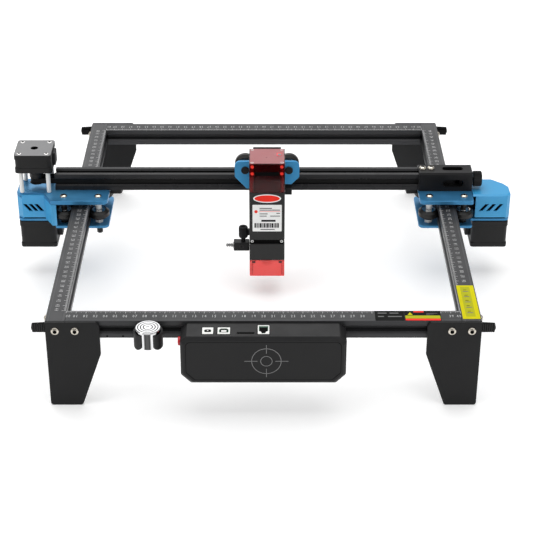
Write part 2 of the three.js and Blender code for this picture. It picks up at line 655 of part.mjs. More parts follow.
function addLaserCarriage() {
  const half = 36.9;
  const plate = outline([
    [half, 152.5, 6], [-half, 152.5, 6], [-half, 133, 3], [-23.7, 115, 3], [-14, 108, 0], [-14, 91, 3],
    [14, 91, 3], [14, 108, 0], [27.3, 119, 3], [half, 133, 3],
  ]);
  add('laser_carriage_plate', frontSlab(plate, 20, 23), 'blueAnodised', CARRIAGE_X);

  const rail = outline([[15.8, 60], [15.8, 171], [-15.8, 171], [-15.8, 60]].reverse());
  add('focus_slide_rail', frontSlab(rail, LASER_BACK + GAP, 20 - GAP), 'blackAnodised', CARRIAGE_X);

  const wheel = wheelGeometry().rotateX(Math.PI / 2);
  const upper = BEAM_AXIS + HALF + WHEEL_STANDOFF;
  const lower = BEAM_AXIS - HALF - WHEEL_STANDOFF;
  add('x_wheel_upper_left', wheel, 'wheelBlack', CARRIAGE_X - CARRIAGE_WHEEL_X, GANTRY_Y, upper);
  add('x_wheel_upper_right', wheel, 'wheelBlack', CARRIAGE_X + CARRIAGE_WHEEL_X, GANTRY_Y, upper);
  add('x_wheel_lower', wheel, 'wheelBlack', CARRIAGE_X, GANTRY_Y, lower);
}

// ---------------------------------------------------------------- laser module

function fanGeometry() {
  const hub = rod(8, 0, 8);
  const blades = Array.from({ length: 7 }, (_, index) => new THREE.BoxGeometry(8.5, 1.4, 9)
    .rotateX(0.75)
    .translate(10.8, 0, 4)
    .rotateZ(2 * Math.PI * index / 7));
  return join(hub, ...blades);
}

function addLaser() {
  const left = CARRIAGE_X - LASER_WIDTH / 2;
  const right = CARRIAGE_X + LASER_WIDTH / 2;
  const grooveFace = LASER_FRONT + 1.2;
  const side = outline([
    [LASER_BACK, LASER_FLOOR], [LASER_BACK, LASER_ROOF], [LASER_FRONT, LASER_ROOF], [LASER_FRONT, LASER_WAIST[1]],
    [grooveFace, LASER_WAIST[1]], [grooveFace, LASER_WAIST[0]], [LASER_FRONT, LASER_WAIST[0]],
    [LASER_FRONT, LASER_FLOOR],
  ]);
  add('laser_body', toGeometry(toSolid(sideSlab(side, left, right))), 'blackAnodised');

  const hood = box(left, right, LASER_FRONT, LASER_BACK, LASER_ROOF + GAP, COVER_ROOF);
  const room = box(left + THIN_WALL, right - THIN_WALL, LASER_FRONT + THIN_WALL, LASER_BACK - THIN_WALL,
    LASER_ROOF - 1, COVER_ROOF - THIN_WALL);
  add('laser_top_cover', cut(hood, room), 'redClear');
  add('cooling_fan', fanGeometry(), 'blackPlastic', CARRIAGE_X, LASER_MIDDLE_Y, LASER_ROOF + 4);

  const skirt = box(left, right, LASER_FRONT, LASER_BACK, SHIELD_FLOOR, LASER_FLOOR - GAP);
  const inside = box(left + THIN_WALL, right - THIN_WALL, LASER_FRONT + THIN_WALL, LASER_BACK - THIN_WALL,
    SHIELD_FLOOR - 1, LASER_FLOOR + 1);
  add('laser_shield', cut(skirt, inside), 'redClear');
  const barrel = turned([[0, 36], [3, 34.5], [3, 33], [6, 33], [6, LASER_FLOOR - GAP], [0, LASER_FLOOR - GAP]], PULLEY_SIDES);
  add('lens_barrel', barrel, 'brass', CARRIAGE_X, LASER_MIDDLE_Y);

  const airY = -8;
  const block = box(-34.6, left - GAP, -5, 5, 54.5, 65);
  const barb = crossRod(2.4, -43.5, -34, 12).translate(0, 0, 59.5);
  add('air_nozzle', join(block, barb), 'blackAnodised', 0, airY);
  const screw = turned([
    [0, 65 + GAP], [2.5, 65 + GAP], [2.5, 70], [4.6, 70.4], [5.2, 71.2], [5.2, 82.4], [4.6, 83.6], [0, 83.6],
  ], ROUND_SIDES / 2);
  add('thumb_screw', screw, 'blackAnodised', -23.5, airY);
}

addFrame();
addLegs();
addRailBelts();
addControlBox();
addGauge();
addGantryEnds();
addBeam();
addLaserCarriage();
addLaser();

// The origin is the middle of the footprint, on the floor.
const FRONT_REACH = -BOX_FACE;
const REAR_REACH = FRAME_FACE + GAP + LEG_THICKNESS + LEG_SCREW_HEAD;
machine.position.y = (FRONT_REACH - REAR_REACH) / 2;

export default machine;
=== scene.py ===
"""Looks of the desktop laser cutter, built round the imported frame.

Lengths below are in millimetres, measured from the middle of the four frame rails on the floor:
+X to the right, +Y to the back, +Z up. at() turns them into the frame's metres.
"""

import json
import math

import bmesh
import bpy
from mathutils import Matrix, Vector


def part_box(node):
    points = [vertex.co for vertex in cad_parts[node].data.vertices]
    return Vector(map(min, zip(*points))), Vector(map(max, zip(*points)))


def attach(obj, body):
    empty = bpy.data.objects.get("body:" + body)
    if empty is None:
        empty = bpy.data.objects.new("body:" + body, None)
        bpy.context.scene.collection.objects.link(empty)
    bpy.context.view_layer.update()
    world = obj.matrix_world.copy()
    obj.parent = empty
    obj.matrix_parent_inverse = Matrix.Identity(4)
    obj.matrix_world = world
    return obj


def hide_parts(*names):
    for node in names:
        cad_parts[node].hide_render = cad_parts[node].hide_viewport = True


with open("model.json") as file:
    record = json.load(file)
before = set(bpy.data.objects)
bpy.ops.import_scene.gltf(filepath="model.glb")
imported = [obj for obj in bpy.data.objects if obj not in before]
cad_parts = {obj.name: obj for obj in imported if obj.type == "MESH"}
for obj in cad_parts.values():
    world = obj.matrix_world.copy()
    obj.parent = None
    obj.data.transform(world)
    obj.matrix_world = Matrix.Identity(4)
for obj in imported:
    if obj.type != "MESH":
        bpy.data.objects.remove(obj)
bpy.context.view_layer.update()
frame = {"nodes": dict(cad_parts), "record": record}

MM = 0.001
RAIL_LOW, RAIL_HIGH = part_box("left_rail")
MIDDLE_Y = (RAIL_LOW.y + RAIL_HIGH.y) / 2


def at(x, y, z):
    return Vector((x * MM, y * MM + MIDDLE_Y, z * MM))


def limits(node):
    """A CAD node's box, in this script's millimetres."""
    low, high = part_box(node)
    shift = Vector((0, MIDDLE_Y, 0))
    return (low - shift) / MM, (high - shift) / MM


NODE_BODY = {
    node: body
    for body, nodes in frame["record"]["behaviour"]["bodies"].items()
    for node in nodes
}

# ---------------------------------------------------------------- sizes taken from the frame

PROFILE = 20
FRAME_TOP = limits("front_bar")[1].z
FRAME_AXIS = FRAME_TOP - PROFILE / 2
BAR_HALF = 200
RAIL_X = BAR_HALF + PROFILE / 2
FRAME_FACE = 240
UPPER_FLOOR, UPPER_ROOF = (corner.z for corner in limits("right_upper_plate"))
LOWER_FLOOR, LOWER_ROOF = (corner.z for corner in limits("right_lower_plate"))
GANTRY_Y = 40
WHEEL_SPREAD = 26
MOTOR_X = 263
BEAM_LOW, BEAM_HIGH = limits("x_beam")
BEAM_AXIS = (BEAM_LOW.z + BEAM_HIGH.z) / 2
BODY_LOW, BODY_HIGH = limits("laser_body")
CARRIAGE_X = (BODY_LOW.x + BODY_HIGH.x) / 2
LASER_FRONT = BODY_LOW.y
LASER_BACK = BODY_HIGH.y
HOOD_LOW, HOOD_HIGH = limits("laser_top_cover")
SHIELD_LOW, SHIELD_HIGH = limits("laser_shield")
BOX_LOW, BOX_HIGH = limits("control_box_shell")
GAUGE_LOW, GAUGE_HIGH = limits("focus_cylinder")
WAIST = (69.3, 74.8)
SIDES = (("left", -1), ("right", 1))
ENDS = (("front", -1), ("rear", 1))

# ---------------------------------------------------------------- materials


def noise(nodes, links, vector, scale, detail=3.0):
    node = nodes.new("ShaderNodeTexNoise")
    node.inputs["Scale"].default_value = scale
    node.inputs["Detail"].default_value = detail
    links.new(vector, node.inputs["Vector"])
    return node.outputs["Fac"]


def ramp(nodes, links, factor, stops):
    node = nodes.new("ShaderNodeValToRGB")
    elements = node.color_ramp.elements
    while len(elements) < len(stops):
        elements.new(0.5)
    for element, (position, color) in zip(elements, stops):
        element.position = position
        element.color = (*color, 1)
    links.new(factor, node.inputs["Fac"])
    return node.outputs["Color"]


def remap(nodes, links, value, low, high, source=(0.35, 0.65)):
    node = nodes.new("ShaderNodeMapRange")
    node.inputs["From Min"].default_value = source[0]
    node.inputs["From Max"].default_value = source[1]
    node.inputs["To Min"].default_value = low
    node.inputs["To Max"].default_value = high
    links.new(value, node.inputs["Value"])
    return node.outputs["Result"]


def mixed(nodes, links, factor, first, second):
    node = nodes.new("ShaderNodeMix")
    node.data_type = "RGBA"
    links.new(factor, node.inputs["Factor"])
    links.new(first, node.inputs["A"])
    node.inputs["B"].default_value = (*second, 1)
    return node.outputs["Result"]


def arithmetic(nodes, links, operation, *values):
    """A maths node; each value is a socket to link or a plain number."""
    node = nodes.new("ShaderNodeMath")
    node.operation = operation
    for socket, value in zip(node.inputs, values):
        if isinstance(value, bpy.types.NodeSocket):
            links.new(value, socket)
        else:
            socket.default_value = value
    return node.outputs[0]


def material(name, color, roughness=0.4, metallic=0.0, grain=1800, relief=0.1, tint=0.12,
             stretch=(1, 1, 1), patch=45, spread=0.05, wear_and_highlight=None, **sockets):
    """A finish with fine grain, broad patches of tone and gloss, and lighter edges that are partly wear
    and partly painted highlight.
    """
    made = bpy.data.materials.new(name)
    made.use_nodes = True
    nodes, links = made.node_tree.nodes, made.node_tree.links
    shader = nodes["Principled BSDF"]
    place = nodes.new("ShaderNodeTexCoord").outputs["Object"]
    stretcher = nodes.new("ShaderNodeMapping")
    stretcher.inputs["Scale"].default_value = stretch
    links.new(place, stretcher.inputs["Vector"])
    fine = noise(nodes, links, stretcher.outputs["Vector"], grain)
    broad = noise(nodes, links, place, patch, 4.0)
    half = arithmetic(nodes, links, "MULTIPLY", broad, 0.5)
    blend = arithmetic(nodes, links, "MULTIPLY_ADD", fine, 0.5, half)
    darker = tuple(channel * (1 - tint) for channel in color)
    lighter = tuple(min(1, channel * (1 + tint)) for channel in color)
    tone = ramp(nodes, links, blend, [(0.35, darker), (0.65, lighter)])
    # Convex edges are lightened: partly wear, partly painted highlight on the rounded edges.
    if wear_and_highlight:
        edge = nodes.new("ShaderNodeNewGeometry").outputs["Pointiness"]
        worn_and_lit = remap(nodes, links, edge, 0.0, 0.55, (0.52, 0.62))
        tone = mixed(nodes, links, worn_and_lit, tone, wear_and_highlight)
    links.new(tone, shader.inputs["Base Color"])
    shader.inputs["Metallic"].default_value = metallic
    links.new(remap(nodes, links, broad, roughness - spread, roughness + spread),
              shader.inputs["Roughness"])
    bump = nodes.new("ShaderNodeBump")
    bump.inputs["Strength"].default_value = relief
    bump.inputs["Distance"].default_value = 0.0002
    links.new(fine, bump.inputs["Height"])
    links.new(bump.outputs["Normal"], shader.inputs["Normal"])
    for socket, value in sockets.items():
        shader.inputs[socket.replace("_", " ")].default_value = value
    return made


# How many painted reflection bands run round the gauge's side.
REFLECTION_BAND_COUNT = 6


def painted_reflection_side():
    """The gauge's steel side with painted reflection: light and dark bands, painted into its colour, run
    down it all round its axis.
    """
    made = material("painted_reflection_side", (0.8, 0.8, 0.81), 0.12, 1.0, 900, 0.04, tint=0.03, spread=0.03,
                    stretch=(1, 1, 0.1))
    nodes, links = made.node_tree.nodes, made.node_tree.links
    shader = nodes["Principled BSDF"]
    tone = shader.inputs["Base Color"].links[0].from_socket
    middle = (GAUGE_LOW + GAUGE_HIGH) / 2
    centre = nodes.new("ShaderNodeMapping")
    centre.inputs["Location"].default_value = -at(middle.x, middle.y, 0)
    links.new(nodes.new("ShaderNodeTexCoord").outputs["Object"], centre.inputs["Vector"])
    turn = nodes.new("ShaderNodeTexGradient")
    turn.gradient_type = "RADIAL"
    links.new(centre.outputs["Vector"], turn.inputs["Vector"])
    band_turns = arithmetic(nodes, links, "MULTIPLY", turn.outputs["Fac"], REFLECTION_BAND_COUNT)
    part = arithmetic(nodes, links, "FRACT", band_turns)
    # Painted reflection: bright, dim and dark tones multiplied into the steel's colour.
    bright, dim, dark = (0.95, 0.95, 0.95), (0.1, 0.1, 0.1), (0.04, 0.04, 0.04)
    painted_reflection_bands = ramp(nodes, links, part,
                 [(0.2, bright), (0.3, dark), (0.42, dim), (0.58, dim), (0.7, dark), (0.8, bright)])
    shade = nodes.new("ShaderNodeMix")
    shade.data_type = "RGBA"
    shade.blend_type = "MULTIPLY"
    shade.inputs["Factor"].default_value = 1
    links.new(tone, shade.inputs["A"])
    links.new(painted_reflection_bands, shade.inputs["B"])
    links.new(shade.outputs["Result"], shader.inputs["Base Color"])
    return made


LONG = 0.02
# Edge colour of the extrusions: partly wear, partly painted highlight.
EXTRUSION_WEAR_AND_HIGHLIGHT = (0.1, 0.1, 0.105)
FINISH = {
    "anodised_x": material("anodised_along_x", (0.022, 0.0225, 0.024), 0.34, 0.3, 1600, 0.12,
                           stretch=(LONG, 1, 1), wear_and_highlight=EXTRUSION_WEAR_AND_HIGHLIGHT, Specular_IOR_Level=0.22),
    # A darker copy of the extrusion finish for the beam: painted shade on its front, which lies in shade.
    "anodised_beam_painted_shade": material("anodised_beam_painted_shade", (0.006, 0.006, 0.0065), 0.3, 0.15, 1600, 0.12,
                              stretch=(LONG, 1, 1), wear_and_highlight=(0.1, 0.1, 0.105), Specular_IOR_Level=0.1),
    "anodised_y": material("anodised_along_y", (0.026, 0.0265, 0.028), 0.34, 0.3, 1600, 0.12,
                           stretch=(1, LONG, 1), wear_and_highlight=EXTRUSION_WEAR_AND_HIGHLIGHT, Specular_IOR_Level=0.26),
    "anodised": material("anodised_black", (0.009, 0.009, 0.0095), 0.33, 0.15, 2200, 0.08,
                         wear_and_highlight=(0.07, 0.07, 0.075),
                         Specular_IOR_Level=0.09),
    "heat_sink": material("heat_sink_black", (0.012, 0.012, 0.0125), 0.42, 0.2, 1500, 0.06,
                          stretch=(1, 1, LONG), wear_and_highlight=(0.05, 0.05, 0.05), Specular_IOR_Level=0.25),
    "paint": material("powder_coat_black", (0.008, 0.008, 0.0085), 0.5, 0.0, 1300, 0.16,
                      wear_and_highlight=(0.03, 0.03, 0.03),
                      Specular_IOR_Level=0.2),
    "laser_paint": material("laser_coat_black", (0.014, 0.0138, 0.0138), 0.48, 0.0, 1300, 0.14,
                            wear_and_highlight=(0.05, 0.05, 0.05),
                            Specular_IOR_Level=0.25),
    "motor_paint": material("motor_enamel", (0.008, 0.008, 0.0083), 0.42, 0.0, 2000, 0.1,
                            wear_and_highlight=(0.03, 0.03, 0.03),
                            Specular_IOR_Level=0.2),
    "motor_steel": material("motor_lid", (0.2, 0.2, 0.203), 0.5, 0.4, 1500, 0.1, tint=0.08),
    "plastic": material("moulded_black", (0.009, 0.009, 0.0095), 0.46, 0.0, 1500, 0.22,
                        wear_and_highlight=(0.03, 0.03, 0.032),
                        Specular_IOR_Level=0.23),
    "wheel": material("wheel_black", (0.008, 0.008, 0.0075), 0.38, 0.0, 1500, 0.1,
                      Specular_IOR_Level=0.35),
    "rubber": material("belt_rubber", (0.005, 0.005, 0.005), 0.7, 0.0, 2500, 0.25,
                       Specular_IOR_Level=0.2),
    "belt_rib": material("belt_rib", (0.02, 0.02, 0.02), 0.6, 0.0, 2500, 0.2, Specular_IOR_Level=0.3),
    "blue_plate": material("blue_anodised", (0.04, 0.2, 0.4), 0.38, 0.55, 2200, 0.06, tint=0.07,
                           wear_and_highlight=(0.12, 0.42, 0.72), Specular_IOR_Level=0.35),
    # A lighter, less metallic copy of the blue anodising for the carriage plate: painted light on its
    # front-facing face.
    "blue_plate_painted_light": material("blue_anodised_painted_light", (0.045, 0.3, 0.6), 0.38, 0.35, 2200, 0.06, tint=0.07,
                           wear_and_highlight=(0.12, 0.42, 0.72), Specular_IOR_Level=0.35),
    "blue_plastic": material("moulded_blue", (0.035, 0.31, 0.6), 0.38, 0.0, 1500, 0.16, tint=0.05,
                             wear_and_highlight=(0.12, 0.46, 0.82), Specular_IOR_Level=0.4),
    "steel": material("bright_steel", (0.72, 0.71, 0.7), 0.18, 1.0, 1800, 0.05, tint=0.05, spread=0.04),
    "grey_steel": material("grey_steel", (0.3, 0.3, 0.3), 0.25, 1.0, 1800, 0.05, tint=0.06, spread=0.04),
    "nickel": material("nickel_screw", (0.58, 0.54, 0.47), 0.14, 1.0, 1800, 0.05, tint=0.06, spread=0.04),
    "chrome": material("turned_chrome", (0.6, 0.6, 0.61), 0.12, 1.0, 900, 0.04, tint=0.03, spread=0.03,
                       stretch=(1, 1, 12)),
    "painted_reflection_steel": painted_reflection_side(),
    "nylon": material("white_nylon", (0.82, 0.82, 0.8), 0.35, 0.0, 1200, 0.1, tint=0.04),
    "dark_metal": material("dark_metal", (0.012, 0.012, 0.012), 0.35, 0.4, 1800, 0.1,
                           Specular_IOR_Level=0.4),
    "black_steel": material("blackened_steel", (0.007, 0.007, 0.0073), 0.36, 0.2, 1800, 0.08,
                            wear_and_highlight=(0.06, 0.06, 0.06),
                            Specular_IOR_Level=0.15),
    "hood": material("red_hood", (0.45, 0.01, 0.014), 0.1, 0.0, 700, 0.02, tint=0.06, spread=0.03,
                     Transmission_Weight=0.97, IOR=1.38),
    # A pinker, less clear copy of the red hood for its top only: painted sheen where the overhead light
    # reflects.
    "hood_top": material("red_hood_painted_sheen", (0.42, 0.08, 0.09), 0.3, 0.0, 700, 0.02, tint=0.06, spread=0.03,
                         Transmission_Weight=0.3, IOR=1.45),
    "shield": material("red_shield", (1.0, 0.1, 0.09), 0.14, 0.0, 700, 0.02, tint=0.05, spread=0.03,
                       Transmission_Weight=0.45, IOR=1.45),
    "red": material("red_button", (0.62, 0.02, 0.03), 0.25, 0.0, 1200, 0.06),
    "board": material("green_board", (0.02, 0.12, 0.06), 0.35, 0.0, 900, 0.12),
    "socket": material("white_socket", (0.8, 0.8, 0.78), 0.4, 0.0, 1400, 0.08, tint=0.04),
    # Near-black painted shade: dark discs, strips and linings put in holes, grooves, vents and recesses
    # where shade falls.
    "pit": material("painted_shade_black", (0.003, 0.003, 0.003), 0.7, 0.0, 1400, 0.1, Specular_IOR_Level=0.03),
    "brass": material("turned_brass", (0.7, 0.5, 0.22), 0.22, 1.0, 1500, 0.06),
    "ink": material("scale_ink", (0.5, 0.5, 0.5), 0.5, 0.0, 900, 0.05, tint=0.2, patch=260),
    "label_white": material("label_white", (0.92, 0.92, 0.91), 0.55, 0.0, 700, 0.04, tint=0.03,
                            Specular_IOR_Level=0.15),
    "label_grey": material("label_grey", (0.1, 0.1, 0.1), 0.45, 0.0, 700, 0.04),
    "label_black": material("label_black", (0.005, 0.005, 0.005), 0.6, 0.0, 700, 0.05,
                            Specular_IOR_Level=0.08),
    "label_red": material("label_red", (0.9, 0.035, 0.02), 0.55, 0.0, 700, 0.04, tint=0.05,
                          Specular_IOR_Level=0.15),
    "label_yellow": material("label_yellow", (0.6, 0.55, 0.008), 0.6, 0.0, 700, 0.06, tint=0.06,
                             Specular_IOR_Level=0.04),
    "label_lime": material("label_lime", (0.42, 0.42, 0.02), 0.6, 0.0, 700, 0.06, tint=0.06,
                           Specular_IOR_Level=0.04),
    "engraving": material("engraved_grey", (0.2, 0.2, 0.2), 0.5, 0.0, 900, 0.08, tint=0.1),
}

# ---------------------------------------------------------------- mesh helpers


def finished(name, mesh, finish, body, bevel=0.0, segments=2, replaces=(), sharp=32):
    """Makes a mesh into a piece: welded, flat faces merged, edges rounded, on its body."""
    work = bmesh.new()
    work.from_mesh(mesh)
    bmesh.ops.remove_doubles(work, verts=work.verts, dist=2e-6)
    bmesh.ops.dissolve_limit(work, angle_limit=math.radians(0.4), verts=work.verts, edges=work.edges)
    bmesh.ops.recalc_face_normals(work, faces=work.faces)
    work.to_mesh(mesh)
    work.free()
    mesh.name = name
    made = bpy.data.objects.new(name, mesh)
    bpy.context.scene.collection.objects.link(made)
    mesh.materials.clear()
    mesh.materials.append(FINISH[finish])
    for polygon in mesh.polygons:
        polygon.use_smooth = True
        polygon.material_index = 0
    mesh.set_sharp_from_angle(angle=math.radians(sharp))
    if bevel:
        rounding = made.modifiers.new("rounded_edges", "BEVEL")
        rounding.width = bevel * MM
        rounding.segments = segments
        rounding.limit_method = "ANGLE"
        rounding.angle_limit = math.radians(28)
        rounding.harden_normals = True
    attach(made, body)
    for node in replaces:
        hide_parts(node)
    return made


def refined(node, finish, bevel=0.5, segments=2):
    """A CAD node's own shape with rounded edges and a real finish."""
    mesh = frame["nodes"][node].data.copy()
    return finished(node + "_shape", mesh, finish, NODE_BODY[node], bevel, segments, [node])


def refinish(node, finish):
    """A CAD node kept as it is, with a real finish."""
    made = frame["nodes"][node]
    made.data.materials.clear()
    made.data.materials.append(FINISH[finish])


def rounded(corners, steps=6):
    """An outline from [x, y] or [x, y, radius] corners."""
    points = []
    count = len(corners)
    for index, corner in enumerate(corners):
        here = Vector(corner[:2])
        radius = corner[2] if len(corner) > 2 else 0
        if not radius:
            points.append(tuple(here))
            continue
        before = Vector(corners[index - 1][:2]) - here
        after = Vector(corners[(index + 1) % count][:2]) - here
        half = before.angle(after) / 2
        reach = radius / math.tan(half)
        start = here + before.normalized() * reach
        end = here + after.normalized() * reach
        middle = here + (before.normalized() + after.normalized()).normalized() * radius / math.sin(half)
        first = math.atan2(start.y - middle.y, start.x - middle.x)
        turn = math.atan2(end.y - middle.y, end.x - middle.x) - first
        turn = (turn + math.pi) % (2 * math.pi) - math.pi
        for step in range(steps + 1):
            angle = first + turn * step / steps
            points.append((middle.x + radius * math.cos(angle), middle.y + radius * math.sin(angle)))
    return points


def rectangle(x0, x1, y0, y1, radius=0.0):
    return rounded([(x0, y0, radius), (x1, y0, radius), (x1, y1, radius), (x0, y1, radius)])


def circle(x, y, radius, sides=48):
    return [(x + radius * math.cos(2 * math.pi * k / sides),
             y + radius * math.sin(2 * math.pi * k / sides))
            for k in range(sides)]


def mirrored(points):
    return [(-point[0], *point[1:]) for point in reversed(points)]


def prism_mesh(loops, low, high, plane="plan"):
    """Outlines (holes included) raised from low to high: plan is (x, y), front (x, z), side (y, z)."""
    curve = bpy.data.curves.new("outline", "CURVE")
    curve.dimensions = "2D"
    curve.fill_mode = "BOTH"
    curve.extrude = (high - low) / 2 * MM
    for loop in loops:
        spline = curve.splines.new("POLY")
        spline.points.add(len(loop) - 1)
        for point, (u, v) in zip(spline.points, loop):
            point.co = (u * MM, v * MM, 0, 1)
        spline.use_cyclic_u = True
    holder = bpy.data.objects.new("outline", curve)
    bpy.context.scene.collection.objects.link(holder)
    bpy.context.view_layer.update()
    mesh = bpy.data.meshes.new_from_object(holder)
    bpy.data.objects.remove(holder)
    bpy.data.curves.remove(curve)
    middle = (low + high) / 2 * MM
    if plane == "plan":
        turn = Matrix.Translation((0, MIDDLE_Y, middle))
    elif plane == "front":
        turn = Matrix.Translation((0, middle + MIDDLE_Y, 0)) @ Matrix.Rotation(math.pi / 2, 4, "X")
    else:
        turn = Matrix(((0, 0, 1, middle), (1, 0, 0, MIDDLE_Y), (0, 1, 0, 0), (0, 0, 0, 1)))
    mesh.transform(turn)
    return mesh


def prism(name, loops, low, high, plane, finish, body, bevel=0.4, segments=2, replaces=()):
    return finished(name, prism_mesh(loops, low, high, plane), finish, body, bevel, segments, replaces)


def block(name, x, y, z, finish, body, bevel=0.4, radius=0.8, replaces=()):
    return prism(name, [rectangle(*x, *y, radius)], *z, "plan", finish, body, bevel, 2, replaces)


def lofted_mesh(rings):
    """A closed solid through rings of points, with its two ends capped."""
    work = bmesh.new()
    rows = [[work.verts.new(at(*point)) for point in ring] for ring in rings]
    for before, after in zip(rows, rows[1:]):
        for step in range(len(before)):
            following = (step + 1) % len(before)
            work.faces.new((before[step], before[following], after[following], after[step]))
    work.faces.new(list(reversed(rows[0])))
    work.faces.new(rows[-1])
    mesh = bpy.data.meshes.new("lofted")
    work.to_mesh(mesh)
    work.free()
    return mesh


AXES = {
    "+z": Matrix.Identity(4),
    "-z": Matrix.Rotation(math.pi, 4, "X"),
    "+x": Matrix.Rotation(math.pi / 2, 4, "Y"),
    "-x": Matrix.Rotation(-math.pi / 2, 4, "Y"),
    "-y": Matrix.Rotation(math.pi / 2, 4, "X"),
    "+y": Matrix.Rotation(-math.pi / 2, 4, "X"),
}


def turned_mesh(profile, place, axis="+z", sides=64, knurl=(0, 0.0), bored=False):
    """A turned piece from (radius, height[, kind]) points; kind is hex for a key socket or knurl."""
    work = bmesh.new()
    rings = []
    for radius, height, *kind in profile:
        if radius == 0:
            rings.append([work.verts.new((0, 0, height * MM))])
            continue
        ring = []
        for step in range(sides):
            angle = 2 * math.pi * step / sides
            reach = radius
            if "hex" in kind:
                reach = radius / math.cos((angle + math.pi / 6) % (math.pi / 3) - math.pi / 6)
            if "knurl" in kind:
                reach -= knurl[1] * (0.5 - 0.5 * math.cos(knurl[0] * angle))
            ring.append(work.verts.new((reach * math.cos(angle) * MM, reach * math.sin(angle) * MM,
                                        height * MM)))
        rings.append(ring)
    pairs = list(zip(rings, rings[1:]))
    if bored:
        pairs.append((rings[-1], rings[0]))
    for lower, upper in pairs:
        for step in range(sides):
            after = (step + 1) % sides
            if len(lower) == 1 and len(upper) == 1:
                continue
            if len(lower) == 1:
                work.faces.new((lower[0], upper[after], upper[step]))
            elif len(upper) == 1:
                work.faces.new((lower[step], lower[after], upper[0]))
            else:
                work.faces.new((lower[step], lower[after], upper[after], upper[step]))
    mesh = bpy.data.meshes.new("turned")
    work.to_mesh(mesh)
    work.free()
    mesh.transform(Matrix.Translation(at(*place)) @ AXES[axis])
    return mesh


def turned(name, profile, place, axis, finish, body, bevel=0.2, replaces=(), **shape):
    mesh = turned_mesh(profile, place, axis, **shape)
    return finished(name, mesh, finish, body, bevel, 2, replaces)


def button_screw(name, place, axis, diameter, height, finish, body):
    """A domed cap screw with a hexagon socket; place is where its head meets the surface."""
    radius = diameter / 2
    key = radius * 0.46
    pit = height * 0.34
    dome = [(radius * math.cos(angle), height * (0.22 + 0.78 * math.sin(angle)))
            for angle in (math.radians(degrees) for degrees in range(0, 61, 12))]
    profile = [(0, 0), (radius, 0), *dome, (key, height * 0.93, "hex"), (key, height * 0.3, "hex"),
               (0, height * 0.25)]
    # The key socket's floor is a near-black disc: painted shade.
    turned(f"{name}_key",
           [(0, pit - 0.1), (key * 0.97, pit - 0.1, "hex"), (key * 0.97, pit, "hex"), (0, pit)], place,
           axis,
           "pit", body, 0, sides=24)
    return turned(name, profile, place, axis, finish, body, bevel=0.08)


def joined(name, meshes, finish, body, bevel=0.0):
    """Several small solids as one piece, such as a run of scale marks."""
    work = bmesh.new()
    for mesh in meshes:
        work.from_mesh(mesh)
        bpy.data.meshes.remove(mesh)
    whole = bpy.data.meshes.new(name)
    work.to_mesh(whole)
    work.free()
    return finished(name, whole, finish, body, bevel)


# ---------------------------------------------------------------- frame

SLOT_MOUTH, SLOT_NECK, SLOT_ROOM = 4.8, 3.2, 5.5
LIP_FLAT, LIP_INSIDE, ROOM_SHOULDER, CORE = 8.4, 7.8, 6.5, 4.2
GROOVE_FROM_AXIS, GROOVE_WIDTH, GROOVE_DEPTH = 7.1, 0.55, 0.35


def profile_outline(plain_top):
    """The extrusion's section: V-slots on the faces, or a plain top with two fine grooves."""
    half = PROFILE / 2
    slotted = [
        (half, half), (SLOT_MOUTH, half), (SLOT_NECK, LIP_FLAT), (SLOT_NECK, LIP_INSIDE),
        (SLOT_ROOM, LIP_INSIDE), (SLOT_ROOM, ROOM_SHOULDER), (SLOT_NECK, CORE),
    ]
    slotted += [(-x, y) for x, y in reversed(slotted[1:])]
    edge = GROOVE_WIDTH / 2
    groove = [(GROOVE_FROM_AXIS + edge, half), (GROOVE_FROM_AXIS, half - GROOVE_DEPTH),
              (GROOVE_FROM_AXIS - edge, half)]
    grooved = [(half, half), *groove, *[(-x, y) for x, y in reversed(groove)]]
    turns = [lambda x, y: (x, y), lambda x, y: (-y, x), lambda x, y: (-x, -y), lambda x, y: (y, -x)]
    points = []
    for index, turn in enumerate(turns):
        side = grooved if plain_top and index == 0 else slotted
        points += [turn(x, y) for x, y in side]
    return points


def placed(points, u, v):
    return [(x + u, y + v) for x, y in points]


def make_frame():
    section = profile_outline(True)
    for end, sign in ENDS:
        low, high = limits(f"{end}_bar")
        loop = placed(section, sign * (FRAME_FACE - PROFILE / 2), FRAME_AXIS)
        prism(f"{end}_bar_profile", [loop], low.x, high.x, "side", "anodised_x", "frame", 0.3, 2,
              [f"{end}_bar"])
    for side, sign in SIDES:
        low, high = limits(f"{side}_rail")
        loop = placed(section, sign * RAIL_X, FRAME_AXIS)
        prism(f"{side}_rail_profile", [loop], low.y, high.y, "front", "anodised_y", "frame", 0.3, 2,
              [f"{side}_rail"])
    for index, x in enumerate((-158, -142)):
        # The pin holes are near-black discs: painted shade.
        turned(f"bar_pin_hole_{index + 1}", [(0, -0.2), (1, -0.2), (1, 0.05), (0, 0.05)],
               (x, -FRAME_FACE, FRAME_AXIS - 8), "-y", "pit", "frame", 0, sides=24)


def make_legs():
    outline = [(220, 0, 3), (220, FRAME_TOP, 1.5), (168.7, FRAME_TOP, 1.5), (165.2, 96.4, 1),
               (165.2, 62, 4), (186.8, 0, 3)]
    count = 0
    for end, end_sign in ENDS:
        for side, sign in SIDES:
            low, high = limits(f"leg_{end}_{side}")
            plate = (low.y + 2.2, high.y) if end_sign < 0 else (low.y, high.y - 2.2)
            loop = rounded(outline if sign > 0 else mirrored(outline))
            prism(f"leg_plate_{end}_{side}", [loop], *plate, "front", "paint", "frame", 0.55, 3,
                  [f"leg_{end}_{side}"])
            for x in (190, 210):
                count += 1
                face = plate[0] if end_sign < 0 else plate[1]
                axis = "-y" if end_sign < 0 else "+y"
                button_screw(f"leg_screw_{count}", (sign * x, face, FRAME_AXIS), axis, 8.5, 2.2,
                             "nickel", "frame")


